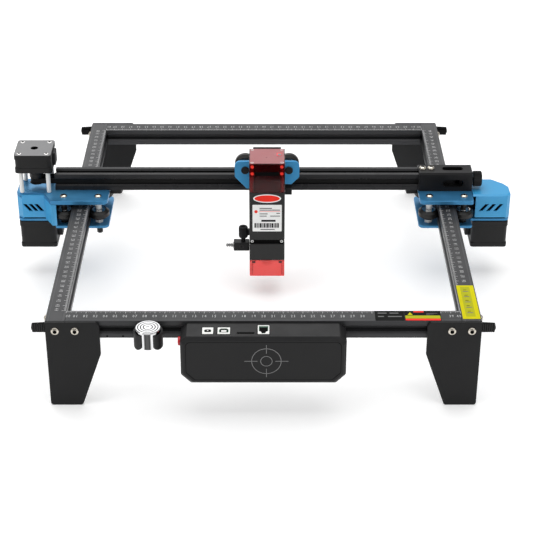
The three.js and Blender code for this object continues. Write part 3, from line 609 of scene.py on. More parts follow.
# Numbers are drawn once for each digit and copied along the four scales.
DIGIT_HEIGHT = 4.3
DIGIT_WIDTH = 0.62
DIGIT_SPACING = 2.7
DIGIT_ROW = 12.6        # from the scale's inner edge to the foot of its numbers
TICK_ROW = 0.8          # from the inner edge to the start of the ticks
TICK_PITCH = 10         # ticks to a number
INK = 0.05


def digit_outlines():
    shapes = {}
    for digit in "0123456789":
        text = bpy.data.curves.new("digit", "FONT")
        text.body = digit
        text.size = DIGIT_HEIGHT / 0.7 * MM
        text.extrude = INK / 2 * MM
        text.resolution_u = 2
        holder = bpy.data.objects.new("digit", text)
        bpy.context.scene.collection.objects.link(holder)
        bpy.context.view_layer.update()
        mesh = bpy.data.meshes.new_from_object(holder)
        bpy.data.objects.remove(holder)
        low = min(vertex.co.x for vertex in mesh.vertices)
        high = max(vertex.co.x for vertex in mesh.vertices)
        mesh.transform(Matrix.Diagonal((DIGIT_WIDTH, 1, 1, 1)) @ Matrix.Translation((-(low + high) / 2,
            0, 0)))
        shapes[digit] = mesh
    return shapes


def scale_marks(name, numbers, origin, along, inward, shapes, hidden=()):
    """A length scale: 1 mm ticks from the inner edge, a number every 10 mm."""
    work = bmesh.new()
    surface = FRAME_TOP + INK / 2

    def place(u, v):
        return at(origin[0] + along[0] * u - inward[0] * v, origin[1] + along[1] * u - inward[1] * v,
                  surface)

    def covered(u):
        return any(start <= u <= stop for start, stop in hidden)

    def stamp(mesh):
        work.from_mesh(mesh)
        bpy.data.meshes.remove(mesh)

    direction = Matrix(((along[0], inward[0], 0, 0), (along[1], inward[1], 0, 0), (0, 0, 1, 0),
                        (0, 0, 0, 1)))
    for step in range((len(numbers) - 1) * TICK_PITCH + 1):
        if covered(step):
            continue
        length = 4.4 if step % TICK_PITCH == 0 else 3.1 if step % 5 == 0 else 2.0
        width = 0.45 if step % TICK_PITCH == 0 else 0.3
        tick = bmesh.new()
        bmesh.ops.create_cube(tick, size=MM)
        mesh = bpy.data.meshes.new("tick")
        tick.to_mesh(mesh)
        tick.free()
        size = Matrix.Diagonal((width, length, INK, 1))
        mesh.transform(Matrix.Translation(place(step, TICK_ROW + length / 2)) @ direction @ size)
        stamp(mesh)
    for index, number in enumerate(numbers):
        u = index * TICK_PITCH
        if covered(u - 3) or covered(u + 3):
            continue
        u = min(max(u, 2.4), (len(numbers) - 1) * TICK_PITCH - 2.4)
        for slot, digit in enumerate(f"{number:02d}"):
            mesh = shapes[digit].copy()
            shift = (slot - 0.5) * DIGIT_SPACING
            mesh.transform(Matrix.Translation(place(u + shift, DIGIT_ROW)) @ direction)
            stamp(mesh)
    whole = bpy.data.meshes.new(name)
    work.to_mesh(whole)
    work.free()
    return finished(name, whole, "ink", "frame")


YELLOW_LABEL = (-236, -169.4)
BAR_LABELS = (112.8, 142.7, 179.3)


def make_scales():
    shapes = digit_outlines()
    inner_y = FRAME_FACE - PROFILE
    across = list(range(41))
    deep = list(range(45))
    scale_marks("front_scale", across, (-BAR_HALF, -inner_y), (1, 0), (0, 1), shapes,
                [(BAR_LABELS[0] + BAR_HALF, BAR_LABELS[2] + BAR_HALF)])
    scale_marks("rear_scale", across, (BAR_HALF, inner_y), (-1, 0), (0, -1), shapes)
    scale_marks("left_scale", deep, (-BAR_HALF, inner_y), (0, -1), (1, 0), shapes)
    scale_marks("right_scale", deep, (BAR_HALF, -inner_y), (0, 1), (-1, 0), shapes,
                [(0, YELLOW_LABEL[1] + inner_y)])
    for mesh in shapes.values():
        bpy.data.meshes.remove(mesh)


def film(name, x, y, z, finish, radius=0.4, body="frame"):
    """A label lying on a top face."""
    return prism(name, [rectangle(*x, *y, radius)], *z, "plan", finish, body, 0)


def make_bar_labels():
    low, top = FRAME_TOP, FRAME_TOP + 0.12
    print_top = top + 0.05
    first, second, last = BAR_LABELS
    film("bar_label_plain", (first, second - 0.3), (-239.4, -220.8), (low, top), "label_black")
    film("bar_label_banded", (second, last), (-239.4, -220.8), (low, top), "label_black")
    film("bar_label_band_yellow", (second + 0.6, last - 0.6), (-235.3, -229.6), (top, print_top),
         "label_lime")
    film("bar_label_band_red", (second + 0.6, last - 0.6), (-239, -235.6), (top, print_top), "label_red")
    film("bar_label_patch_red", (second + 9.5, second + 20), (-223.6, -221.3), (top, print_top),
         "label_red")
    for index in range(3):
        y = -225.3 - 1.6 * index
        film(f"bar_label_rule_{index + 1}", (second + 22, last - 3 - 4 * index), (y - 0.3, y + 0.3),
             (top, print_top), "label_grey", 0)
    triangle = [(second + 3.2, -228.4), (second + 8.4, -228.4), (second + 5.8, -223.4)]
    prism("bar_label_triangle", [triangle], top, print_top, "plan", "label_yellow", "frame", 0)
    for index, (start, stop,
                y) in enumerate(((3, 12, -225), (15, 24, -225), (3, 9, -231.5), (13, 27, -231.5))):
        film(f"bar_label_line_{index + 1}", (first + start, first + stop), (y - 0.9, y + 0.9),
             (top, print_top), "label_grey", 0)
    film("rail_label", (201.2, 219), YELLOW_LABEL, (low, top), "label_yellow")
    film("rail_label_panel", (204.8, 214.6), (-231.5, -172.5), (top, print_top), "label_lime")
    for index in range(5):
        start = -176 - 10.6 * index
        film(f"rail_label_block_{index + 1}", (207, 212.6), (start - 6.4, start - 5.2),
             (print_top, print_top + 0.03),
             "label_grey", 0)
        film(f"rail_label_rule_{index + 1}", (207.6, 211), (start - 3.2, start - 2.4),
             (print_top, print_top + 0.03),
             "label_black", 0)


TOOTH_PITCH = 2.2
TOOTH_HALF = 0.55


def belt_teeth(start, stop, make_tooth):
    count = int((stop - start) / TOOTH_PITCH)
    return [make_tooth(start + TOOTH_PITCH * (index + 0.5)) for index in range(count)]


def make_rail_belts():
    for side, sign in SIDES:
        refined(f"y_belt_{side}", "rubber", 0.12, 1)
        for end, end_sign in ENDS:
            back, face = 236.6, 239.2
            fold = [(220.4, 97, 0), (233.6, 96.2, 1), (234.6, 91, 1), (233.4, 86.2, 1), (220.4, 86, 0)]
            fold = rounded(fold if sign > 0 else mirrored(fold))
            prism(f"belt_tail_{end}_{side}", [fold], *sorted((end_sign * back, end_sign * face)),
                  "front", "rubber",
                  "frame", 0.4)
            teeth = belt_teeth(220.6, 234, lambda x: prism_mesh(
                [rectangle(*sorted((sign * (x - TOOTH_HALF), sign * (x + TOOTH_HALF))), 86.6, 96)],
                *sorted((end_sign * (face - 0.1), end_sign * (face + 0.75))), "front"))
            joined(f"belt_tail_teeth_{end}_{side}", teeth, "belt_rib", "frame", 0.15)
            button_screw(f"belt_clamp_screw_{end}_{side}", (sign * 220, end_sign * 223, FRAME_AXIS + 3),
                         "+x" if sign > 0 else "-x", 7.4, 3.6, "nickel", "frame")


# ---------------------------------------------------------------- control box


def make_control_box():
    refined("control_box_shell", "plastic", 1.1, 3)
    refined("control_box_back", "paint", 0.4)
    refinish("control_board", "board")
    low, high = limits("power_button")
    middle = ((low.y + high.y) / 2, (low.z + high.z) / 2)
    radius = 4.5
    turned("power_button_cap", [
        (0, low.x + 0.5), (1.8, low.x + 0.45), (radius - 1.2, low.x + 0.1), (radius - 0.5, low.x),
        (radius, low.x + 0.6),
        (radius, -79.9), (5.4, -79.9), (5.4, -78.4), (0, -78.4),
    ], (0, *middle), "+x", "red", "power_button", 0.1, ["power_button"])
    roof = BOX_HIGH.z
    sockets = (
        ("power_inlet", (-61, -50), (-262, -250),
         rounded([(-59, -258.6, 1.2), (-52, -258.6, 1.2), (-52, -253.4, 2.2), (-59, -253.4, 2.2)])),
        ("data_port", (-45.6, -33.3), (-262, -250),
         rounded([(-44.2, -259.4, 0.6), (-34.7, -259.4, 0.6), (-34.7, -254, 1.2), (-36.6, -251.7, 0.8),
                  (-42.3, -251.7, 0.8), (-44.2, -254, 1.2)])),
        ("laser_port", (-5.6, 5.9), (-262, -245.8),
         rounded([(-4.5, -247.2, 0.4), (-4.5, -256.4, 0.5), (-2.2, -258.2, 0.4), (-1.6, -261, 0.4),
                  (1.9, -261, 0.4),
                  (2.5, -258.2, 0.4), (4.8, -256.4, 0.5), (4.8, -247.2, 0.4)])),
    )
    for name, x, y, mouth in sockets:
        prism(f"{name}_housing", [rectangle(*x, *y, 0.5), mouth], roof - 2.6, roof + 0.15, "plan",
              "socket", "frame", 0.15)
        # The socket mouths are filled with near-black prisms: painted shade.
        prism(f"{name}_pit", [mouth], roof - 3.2, roof - 0.35, "plan", "pit", "frame", 0)
    turned("power_inlet_pin", [(0, 0), (0.8, 0), (0.8, 1), (0, 1.2)], (-55.5, -255.6, roof - 0.9), "+z",
           "steel", "frame",
           0, sides=24)
    block("data_port_tongue", (-42.1, -36.8), (-257.6, -254.6), (roof - 2.4, roof - 0.1), "socket",
          "frame", 0.1, 0.3)
    for index in range(8):
        x = -3.4 + 0.96 * index
        block(f"laser_port_contact_{index + 1}", (x - 0.22, x + 0.22), (-249, -247.3),
              (roof - 2.5, roof - 1.7),
              "brass", "frame", 0, 0.05)
    # The card slot is lined in near-black: painted shade.
    block("card_slot_lining", (-25.6, -9.4), (-261.4, -258.6), (roof - 2.4, roof - 0.4), "pit", "frame",
          0, 0.2)
    make_box_mark()
    make_box_panel()


def make_box_mark():
    """A plain engraved mark in the middle of the front: a ring, a smaller ring and cross lines."""
    face = BOX_LOW.y
    centre = (3, 71)
    line = 0.55
    ring = [circle(*centre, 15, 96), list(reversed(circle(*centre, 15 - line, 96)))]
    small = [circle(*centre, 6, 64), list(reversed(circle(*centre, 6 - line, 64)))]
    bars = [rectangle(centre[0] + x0, centre[0] + x1, centre[1] - line / 2, centre[1] + line / 2)
            for x0, x1 in ((-22, -9), (9, 22))]
    posts = [rectangle(centre[0] - line / 2, centre[0] + line / 2, centre[1] + z0, centre[1] + z1)
             for z0, z1 in ((-19, -9), (9, 19))]
    meshes = [prism_mesh(loops, face - 0.02, face + 0.1, "front") for loops in (ring, small)]
    meshes += [prism_mesh([loop], face - 0.02, face + 0.1, "front") for loop in bars + posts]
    joined("box_mark", meshes, "engraving", "frame")


def make_box_panel():
    """A fine groove round the box's front face, drawn as a thin near-black strip: painted shade."""
    face = BOX_LOW.y

    def panel_line(inset):
        reach, floor, roof = BOX_HIGH.x - inset, BOX_LOW.z + inset, BOX_HIGH.z - inset
        return rounded([(-reach, floor + 8.5, 3), (-reach + 8.5, floor, 3), (reach - 8.5, floor, 3),
                        (reach, floor + 8.5, 3),
                        (reach, roof, 5), (-reach, roof, 5)])

    groove = [panel_line(5.2), list(reversed(panel_line(5.7)))]
    prism("box_panel_line", groove, face - 0.015, face + 0.1, "front", "pit", "frame", 0)


# ---------------------------------------------------------------- focus gauge


def make_gauge():
    low, high = GAUGE_LOW, GAUGE_HIGH
    place = ((low.x + high.x) / 2, (low.y + high.y) / 2, 0)
    radius = (high.x - low.x) / 2
    top = high.z
    rings = []
    for groove in (10.2, 7.4, 4.6):
        rings += [(groove + 0.45, top), (groove + 0.3, top - 0.8), (groove - 0.3, top - 0.8),
                  (groove - 0.45, top)]
        # Each groove is lined with a near-black ring: painted shade.
        turned(f"focus_cylinder_groove_{round(groove)}", [
            (groove - 0.25, -0.5), (groove + 0.25, -0.5), (groove + 0.25, -0.25), (groove - 0.25, -0.25),
        ], (*place[:2], top), "+z", "pit", "focus_cylinder", 0, sides=96, bored=True)
    turned("focus_cylinder_turned", [
        (0, top - 1.4), (radius, top - 1.4), (radius, top - 0.7), (radius - 0.7, top),
        *rings, (1.6, top), (1.4, top - 0.6), (0, top - 0.8),
    ], place, "+z", "chrome", "focus_cylinder", 0.1, ["focus_cylinder"], sides=96)
    # The polished side carries the painted reflection bands.
    turned("focus_cylinder_side", [
        (0, low.z), (radius - 0.6, low.z), (radius, low.z + 0.6), (radius, top - 1.5), (0, top - 1.5),
    ], place, "+z", "painted_reflection_steel", "focus_cylinder", 0.1, sides=96)

    inside = radius + 0.35
    outside = inside + 1.6
    gap = math.asin(6.1 / inside)
    floor, roof = (corner.z for corner in limits("cylinder_clip"))
    steps = 56
    start, stop = -math.pi / 2 + gap, 1.5 * math.pi - gap
    rings = []
    for index in range(steps + 1):
        angle = start + (stop - start) * index / steps
        from_gap = min(index, steps - index) / steps
        cut = 3.2 * max(0.0, 1 - from_gap / 0.09) ** 2
        section = ((inside, floor + cut), (outside, floor + cut), (outside, roof), (inside, roof))
        rings.append([(place[0] + reach * math.cos(angle), place[1] + reach * math.sin(angle), height)
                      for reach, height in section])
    finished("cylinder_clip_arms", lofted_mesh(rings), "plastic", "frame", 0.45, 2, ["cylinder_clip"])
    back = place[1] + inside + 0.5
    block("cylinder_clip_foot", (place[0] - 9, place[0] + 9), (back, -FRAME_FACE - 0.2), (floor, roof),
          "plastic", "frame", 0.5)


# ---------------------------------------------------------------- gantry ends

WHEEL_RADIUS, WHEEL_CROWN, WHEEL_SHOULDER, WHEEL_HALF = 11.95, 2.3, 9.15, 5.1


def make_wheel(node, axis):
    """A V wheel with its two bearings; they turn together with the node's body."""
    low, high = limits(node)
    place = tuple((low + high) / 2)
    body = NODE_BODY[node]
    bearing = 8
    turned(node + "_tyre", [
        (bearing, -WHEEL_HALF), (WHEEL_SHOULDER - 0.2, -WHEEL_HALF), (WHEEL_SHOULDER, -WHEEL_HALF + 0.2),
        (WHEEL_RADIUS, -WHEEL_CROWN), (WHEEL_RADIUS, WHEEL_CROWN), (WHEEL_SHOULDER, WHEEL_HALF - 0.2),
        (WHEEL_SHOULDER - 0.2, WHEEL_HALF), (bearing, WHEEL_HALF),
    ], place, axis, "wheel", body, 0.25, [node], sides=72, bored=True)
    turned(node + "_bearing", [
        (2.7, -4.9), (4.2, -4.9), (4.4, -4.6), (6.6, -4.6), (6.8, -4.9), (bearing - 0.05, -4.9),
        (bearing - 0.05, 4.9), (6.8, 4.9), (6.6, 4.6), (4.4, 4.6), (4.2, 4.9), (2.7, 4.9),
    ], place, axis, "steel", body, 0.1, sides=48, bored=True)


FLANGE_X = 243.2
LEDGE_Y = 22.4
LEFT_PLATE = [(178.5, 2, 6), (FLANGE_X, 2, 1), (252.6, 19.2, 0.5), (252.6, LEDGE_Y, 0),
              (281.4, LEDGE_Y, 0.5),
              (285, 26, 1), (285, 54, 1), (279, 60, 1), (240, 60, 0), (240, 78, 5), (178.5, 78, 6)]
LOWER_PLATE = [(178.5, 2, 6), (240, 2, 3), (240, 20, 0), (285, 20, 6), (285, 62, 6), (240, 62, 0),
               (240, 78, 5), (178.5, 78, 6)]
PLAIN_PLATE = [(178.5, 2, 6), (240, 2, 3), (240, 78, 5), (178.5, 78, 6)]


def make_plates():
    for side, sign, plan in (("left", -1, LEFT_PLATE), ("right", 1, PLAIN_PLATE)):
        loop = rounded(plan if sign > 0 else mirrored(plan))
        prism(f"{side}_upper_plate_milled", [loop], UPPER_FLOOR, UPPER_ROOF, "plan", "blue_plate",
              "gantry", 0.8, 3,
              [f"{side}_upper_plate"])
    for side, sign in SIDES:
        loop = rounded(LOWER_PLATE if sign > 0 else mirrored(LOWER_PLATE))
        hole = list(reversed(circle(sign * MOTOR_X, GANTRY_Y, 11.6)))
        prism(f"{side}_lower_plate_milled", [loop, hole], LOWER_FLOOR, LOWER_ROOF, "plan", "blue_plate",
              "gantry",
              0.6, 3, [f"{side}_lower_plate"])
    for index, radius in enumerate((12.5, 15.5)):
        turned(f"pulley_well_ring_{index + 1}", [
            (radius, 0), (radius + 1.1, 0), (radius + 0.9, 0.35), (radius + 0.2, 0.35),
        ], (-MOTOR_X, GANTRY_Y, UPPER_ROOF), "+z", "blue_plate", "gantry", 0, sides=96, bored=True)


def make_wheel_bolts(side, sign):
    for row, x, spacer, nut in (("inner", 190.2, "nylon", "nylon"),
                                ("outer", 229.8, "dark_metal", "dark_metal")):
        for end, end_sign in ENDS:
            y = GANTRY_Y + end_sign * WHEEL_SPREAD
            name = f"{side}_{row}_{end}"
            button_screw(f"plate_screw_{name}", (sign * x, y, UPPER_ROOF), "+z", 8.4, 2.6, "nickel",
                         "gantry")
            turned(f"wheel_spacer_{name}", [
                (2.6, 95.4), (3.1, 95.4), (3.3, 96.2), (3.3, 100.4), (4.8, 101), (4.8, UPPER_FLOOR),
                (2.6, UPPER_FLOOR),
            ], (sign * x, y, 0), "+z", spacer, "gantry", 0.15, sides=48, bored=True)
            turned(f"wheel_nut_{name}", [
                (2.6, LOWER_ROOF), (4.2, LOWER_ROOF, "hex"), (4.2, 81.4, "hex"), (3, 84.5), (2.6, 84.5),
            ], (sign * x, y, 0), "+z", nut, "gantry", 0.1, sides=48, bored=True)
            turned(f"wheel_bolt_{name}", [(0, 72), (2.5, 72), (2.5, UPPER_FLOOR), (0, UPPER_FLOOR)],
                   (sign * x, y, 0), "+z", "grey_steel", "gantry", 0.15, sides=32)
            floor = 65 if side == "left" and row == "inner" else 71.4
            turned(f"lock_nut_{name}", [
                (0, floor), (2.9, floor), (3.4, floor + 0.6), (3.4, 71.6), (4.2, 72, "hex"),
                (4.2, LOWER_FLOOR, "hex"),
                (0, LOWER_FLOOR),
            ], (sign * x, y, 0), "+z", "dark_metal", "gantry", 0.12, sides=48)


MOTOR_HALF = 21.15
MOTOR_SCREWS = 15.5     # from the motor's axis to its screws, both ways
LID_HALF = 20.7
LID_HOLE = 4.2


def motor(name, x, y, flange, length, up, connector_sign, lid):
    """A stepper motor: front flange, laminated stator, rear cap, shaft and plug socket."""
    direction = 1 if up else -1
    half = MOTOR_HALF

    def span(start, stop):
        return sorted((flange - direction * start, flange - direction * stop))

    def square(size, corner):
        return [rectangle(x - size, x + size, y - size, y + size, corner)]

    pieces = (
        ("flange", square(half, 3.4), span(0, 6.5), "motor_paint", 0.5),
        ("stator", square(half - 0.35, 5.2), span(6.5, length - 5.5), "motor_paint", 0.15),
        ("rear_cap", square(half, 3.4), span(length - 5.5, length), "motor_paint", 0.7),
    )
    for part, loops, (low, high), finish, bevel in pieces:
        replaces = [name] if part == "flange" else []
        if lid and part == "rear_cap":
            loops = [*loops, list(reversed(circle(x, y, LID_HOLE)))]
        prism(f"{name}_{part}", loops, low, high, "plan", finish, "gantry", bevel, 2, replaces)
    axis = "+z" if up else "-z"
    turned(f"{name}_pilot", [(0, -0.5), (11, -0.5), (11, 2), (6, 2), (6, 1), (2.6, 1), (2.6, 0), (0, 0)],
           (x, y, flange), axis, "steel", "gantry", 0.2)
    shaft = 21.5 if up else 22.5
    turned(f"{name}_shaft", [(0, 0), (2.5, 0), (2.5, shaft - 0.6), (2.1, shaft), (0, shaft)],
           (x, y, flange), axis, "steel", "gantry", 0.1, sides=32)
    low, high = span(length - 22 if not lid else 4, length - 8.5 if not lid else 19)
    inner = x + connector_sign * (half - 1)
    outer = x + connector_sign * (half + (3 if lid else 5.4))
    block(f"{name}_socket", sorted((inner, outer)), (y - 7.5, y + 7.5), (low, high), "plastic", "gantry",
          0.6, 1)
    if lid:
        top = flange + length
        prism(f"{name}_lid", [square(LID_HALF, 3.2)[0], list(reversed(circle(x, y, LID_HOLE)))],
              top - 0.25, top + 0.05, "plan", "motor_steel", "gantry", 0.1)
        # A near-black cup inside the lid's hole: painted shade.
        turned(f"{name}_lid_hole", [
            (0, -5), (4.1, -5), (4.1, -0.3), (3.9, -0.3), (3.9, -4.8), (0, -4.8),
        ], (x, y, top), "+z", "pit", "gantry", 0, sides=32)
        for index, (dx, dy) in enumerate(((-1, -1), (1, -1), (1, 1), (-1, 1))):
            button_screw(f"{name}_screw_{index + 1}",
                         (x + dx * MOTOR_SCREWS, y + dy * MOTOR_SCREWS, top - 0.1), "+z", 5.6, 0.9,
                         "steel", "gantry")


PULLEY_TEETH = 20


def make_pulley(node, hub_radius, hub_top, finish):
    """A toothed belt pulley with two flanges and a hub with its set screw."""
    low, high = limits(node)
    place = ((low.x + high.x) / 2, (low.y + high.y) / 2, low.z + 4.3)
    body = NODE_BODY[node]
    turned(node + "_turned", [
        (2.6, -4.3), (7.6, -4.3), (8, -4), (8, -3.5), (7.7, -3.3), (5.4, -3.3, "knurl"),
        (5.4, 3.3, "knurl"), (7.7, 3.3),
        (8, 3.6), (8, 4.1), (7.6, 4.3), (hub_radius, 4.3), (hub_radius, hub_top - 0.4),
        (hub_radius - 0.4, hub_top),
        (2.6, hub_top),
    ], place, "+z", finish, body, 0, [node], sides=160, knurl=(PULLEY_TEETH, 0.7), bored=True)
    if hub_top > 6:
        turned(node + "_set_screw",
               [(0, 0), (1.4, 0), (1.4, 0.25), (0.8, 0.25, "hex"), (0.8, -0.4, "hex"), (0, -0.4)],
               (place[0], place[1] - hub_radius + 0.1, place[2] + (hub_top + 4.3) / 2), "-y",
               "black_steel", body, 0, sides=24)


def make_gantry_ends():
    make_plates()
    make_left_cover()
    make_right_cover()
    for side, sign in SIDES:
        make_wheel_bolts(side, sign)
        for row in ("inner", "outer"):
            for end in ("front", "rear"):
                make_wheel(f"y_wheel_{side}_{row}_{end}", "+z")
        motor(f"y_motor_{side}", sign * MOTOR_X, GANTRY_Y, LOWER_FLOOR - 0.3, 33.7, True, -sign, False)
        make_pulley(f"y_pulley_{side}", 8, 11, "dark_metal")
        refined(f"y_belt_loop_{side}", "rubber", 0.12, 1)


def vents(sign, start, pitch):
    """Three slanted slots, their upper ends further out."""
    low, high = 88.8, 97.8
    slots = []
    for index in range(3):
        x = start + pitch * index
        slot = [(x, low), (x + 4.2, low), (x + 11.3, high), (x + 7.1, high)]
        slots.append(mirrored(slot) if sign < 0 else slot)
    return slots


def band(line, thickness):
    """The plan outline of a wall on the left of an open line."""
    inner = []
    for index, point in enumerate(line):
        here = Vector(point)
        units = []
        if index:
            units.append((here - Vector(line[index - 1])).normalized())
        if index < len(line) - 1:
            units.append((Vector(line[index + 1]) - here).normalized())
        normal = sum((Vector((-unit.y, unit.x)) for unit in units), Vector((0, 0)))
        normal *= len(units) / normal.length_squared if len(units) == 1 else 2 / normal.length_squared
        inner.append(tuple(here + normal * thickness))
    return [*line, *reversed(inner)]


COVER_FLOOR = LOWER_ROOF + 0.3
COVER_TOP = 109.5
COVER_FRONT = 20
COVER_GAP = 1.3


def front_wall(name, x0, x1, top, slots, replaces):
    """A cover's front wall with its vents, standing just clear of the lower plate."""
    floor = COVER_FLOOR + COVER_GAP
    wall = rounded([(x0, floor, 0.4), (x1, floor, 0.4), (x1, top, 1.6), (x0, top, 1.6)])
    holes = [list(reversed(slot)) for slot in slots]
    prism(name, [wall, *holes], COVER_FRONT, COVER_FRONT + 2, "front", "blue_plastic", "gantry", 0.25, 2,
          replaces)
    # A near-black sheet behind the vents and a near-black sill under the wall: painted shade.
    back = (COVER_FRONT + 2.05, COVER_FRONT + 2.4)
    prism(f"{name}_vent_lining", [rectangle(x0 + 0.3, x1 - 0.3, 88, 99)], *back, "front", "pit",
          "gantry", 0)
    block(f"{name}_sill", (x0 + 0.5, x1 - 0.5), (COVER_FRONT + 1, COVER_FRONT + 1.9),
          (COVER_FLOOR, floor + 0.4), "pit",
          "gantry", 0, 0.1)


def make_left_cover():
    roof = UPPER_FLOOR - 0.3
    line = [(237.5, 2), (FLANGE_X, 2), (253, 19.8)]
    prism("left_cover_flange", [mirrored(band(line, 2))], COVER_FLOOR, roof, "plan", "blue_plastic",
          "gantry", 0.4, 3)
    line = [(279, 20.2), (285, 26), (285, 54), (279, 60), (241, 60)]
    prism("left_cover_wall", [mirrored(band(line, 2))], COVER_FLOOR, roof, "plan", "blue_plastic",
          "gantry", 0.4, 3)
    front_wall("left_cover_front", -279.2, -252.7, COVER_TOP, vents(-1, 254, 6.6), ["left_cover"])


RIGHT_COVER_LINE = [(244.5, 20), (281, 20), (285, 24.5), (285, 42), (280, 50.5), (267, 62), (243.5, 62)]
LID_CHAMFER = 2
LID_EDGE = 241


def make_right_cover():
    """The closed cover: its lid slopes down to the front wall."""
    line = [(280.8, 20.1), *RIGHT_COVER_LINE[2:]]
    prism("right_cover_wall", [band(line, 2)], COVER_FLOOR, COVER_TOP - 1, "plan", "blue_plastic",
          "gantry", 0.4, 3)
    front_wall("right_cover_front", 244.5, 281.1, COVER_TOP - LID_CHAMFER, vents(1, 248.9, 8.35),
               ["right_cover"])
    edge = [(LID_EDGE, 20), *RIGHT_COVER_LINE[1:-1], (LID_EDGE, 62)]
    middle = Vector((262, 40))
    rings = []
    for height, shrink, slope in (
            (COVER_TOP - LID_CHAMFER, 0.0, 0.0), (COVER_TOP - 0.6, 0.2, LID_CHAMFER - 0.6),
            (COVER_TOP, 0.8, LID_CHAMFER)):
        ring = []
        for x, y in edge:
            away = (middle - Vector((x, y))).normalized() * shrink
            moved = y + slope if y <= 24.5 else y
            ring.append((x + away.x, moved + away.y, height))
        rings.append(ring)
    finished("right_cover_lid", lofted_mesh(rings), "blue_plastic", "gantry", 0.4, 2, [], 20)


# ---------------------------------------------------------------- beam, X drive, tensioner


def make_beam():
    low, high = BEAM_LOW, BEAM_HIGH
    loop = placed(profile_outline(False), GANTRY_Y, BEAM_AXIS)
    prism("x_beam_profile", [loop], low.x, high.x, "side", "anodised_beam_painted_shade", "gantry", 0.3, 2, ["x_beam"])
    for index, x in enumerate((-232, -214)):
        button_screw(f"beam_screw_{index + 1}", (x, GANTRY_Y, BEAM_HIGH.z - 4.6), "+z", 4.6, 2.4,
                     "grey_steel", "gantry")
    for side, sign in SIDES:
        block(f"beam_stop_{side}", sorted((sign * 165, sign * 178)), (33, 50), (104.4, BEAM_LOW.z - 0.2),
              "plastic",
              "gantry", 1.2, 2)
    motor("x_motor", -MOTOR_X, GANTRY_Y, limits("x_motor")[0].z + 22.5, 22.3, False, 1, True)
    make_pulley("x_pulley", 8, 9.5, "dark_metal")
    refined("x_belt", "rubber", 0.12, 1)
    for end in ("front", "rear"):
        for side in ("left", "right"):
            node = f"standoff_{end}_{side}"
            floor, roof = limits(node)
            place = ((floor.x + roof.x) / 2, (floor.y + roof.y) / 2, 0)
            turned(node + "_turned", [
                (0, floor.z), (2.1, floor.z), (2.5, floor.z + 0.4), (2.5, roof.z - 0.4), (2.1, roof.z),
                (0, roof.z),
            ], place, "+z", "nylon", "gantry", 0.1, [node])


def make_tensioner():
    refined("tensioner_body", "anodised", 0.6, 3)
    top = limits("tensioner_body")[1].z
    for index, x in enumerate((183.4, 193)):
        button_screw(f"tensioner_screw_{index + 1}", (x, GANTRY_Y, top), "+z", 8.2, 3.2, "nickel",
                     "gantry")
    refined("tension_yoke", "anodised", 0.3)
    make_pulley("idler_pulley", 3, 4.3, "dark_metal")
    low, high = limits("tensioner_knob")
    radius = (high.z - low.z) / 2
    turned("tensioner_knob_knurled", [
        (0, low.x), (2, low.x + 0.4), (2, 242), (radius - 1, 242), (radius, 242.9, "knurl"),
        (radius, high.x - 0.9, "knurl"), (radius - 1, high.x), (4, high.x), (3.6, high.x - 0.8),
        (0, high.x - 0.8),
    ], (0, GANTRY_Y, BEAM_AXIS), "+x", "black_steel", "tensioner_knob", 0, ["tensioner_knob"],
        sides=216, knurl=(36, 0.7))


# ---------------------------------------------------------------- laser carriage


def make_carriage():
    low, high = limits("laser_carriage_plate")
    plate_front, plate_back = low.y, high.y
    half = (high.x - low.x) / 2
    outline = [(half, 152.5, 6), (half, 132.5, 3), (28, 123.5, 2), (14, 123.5, 0), (14, 91, 3),
               (-14, 91, 3), (-14, 118, 0),
               (-23.6, 118, 2), (-half, 133, 3), (-half, 152.5, 6)]
    loop = rounded([(x + CARRIAGE_X, z, radius) for x, z, radius in reversed(outline)])
    prism("laser_carriage_plate_milled", [loop], plate_front, plate_back, "front", "blue_plate_painted_light",
          "laser_carriage", 0.6, 3,
          ["laser_carriage_plate"])
    refined("focus_slide_rail", "anodised", 0.5)
    for node in ("x_wheel_upper_left", "x_wheel_upper_right", "x_wheel_lower"):
        make_wheel(node, "-y")
        low, high = limits(node)
        x, z = (low.x + high.x) / 2, (low.z + high.z) / 2
        if node != "x_wheel_lower":
            turned(f"{node}_cap", [
                (0, 0), (4.6, 0), (4.6, 1.2), (4.1, 1.8), (0, 2),
            ], (x, plate_front, z + 0.6), "-y", "plastic", "laser_carriage", 0.15)
        turned(f"{node}_spacer", [(2.6, 0), (4.2, 0), (4.2, 9.6), (3.6, 11.4), (2.6, 11.4)],
               (x, plate_back, z), "+y",
               "dark_metal", "laser_carriage", 0.15, sides=48, bored=True)
        turned(f"{node}_bolt", [(0, 0), (2.5, 0), (2.5, 27), (0, 27)], (x, plate_back, z), "+y", "steel",
               "laser_carriage", 0.15, sides=32)
        turned(f"{node}_nut",
               [(2.6, 22.6), (4.2, 22.6, "hex"), (4.2, 26.4, "hex"), (3.2, 27.2), (2.6, 27.2)],
               (x, plate_back, z), "+y", "dark_metal", "laser_carriage", 0.12, sides=48, bored=True)
    block("carriage_plug", (CARRIAGE_X + 20.6, CARRIAGE_X + 28.6), (plate_back, plate_back + 7),
          (108.5, 117.5), "plastic",
          "laser_carriage", 0.5)


# ---------------------------------------------------------------- laser module


def finned_outline(x0, x1, y0, y1):
    """The heat sink's plan: fins down both sides and the back, a plain front."""
    depth, pitch, width = 3.0, 3.3, 1.6
    corner = 4.5
    points = [(x0, y0, 0.6), (x1, y0, 0.6)]
    y = y0 + corner
    while y + pitch < y1 - corner + 1:
        points += [(x1, y), (x1 - depth, y), (x1 - depth, y + width), (x1, y + width)]
        y += pitch
    points += [(x1, y1, 0.6), (x0, y1, 0.6)]
    y = y1 - corner
    while y - pitch > y0 + corner - 1:
        points += [(x0, y), (x0 + depth, y), (x0 + depth, y - width), (x0, y - width)]
        y -= pitch
    return rounded(points, 3)


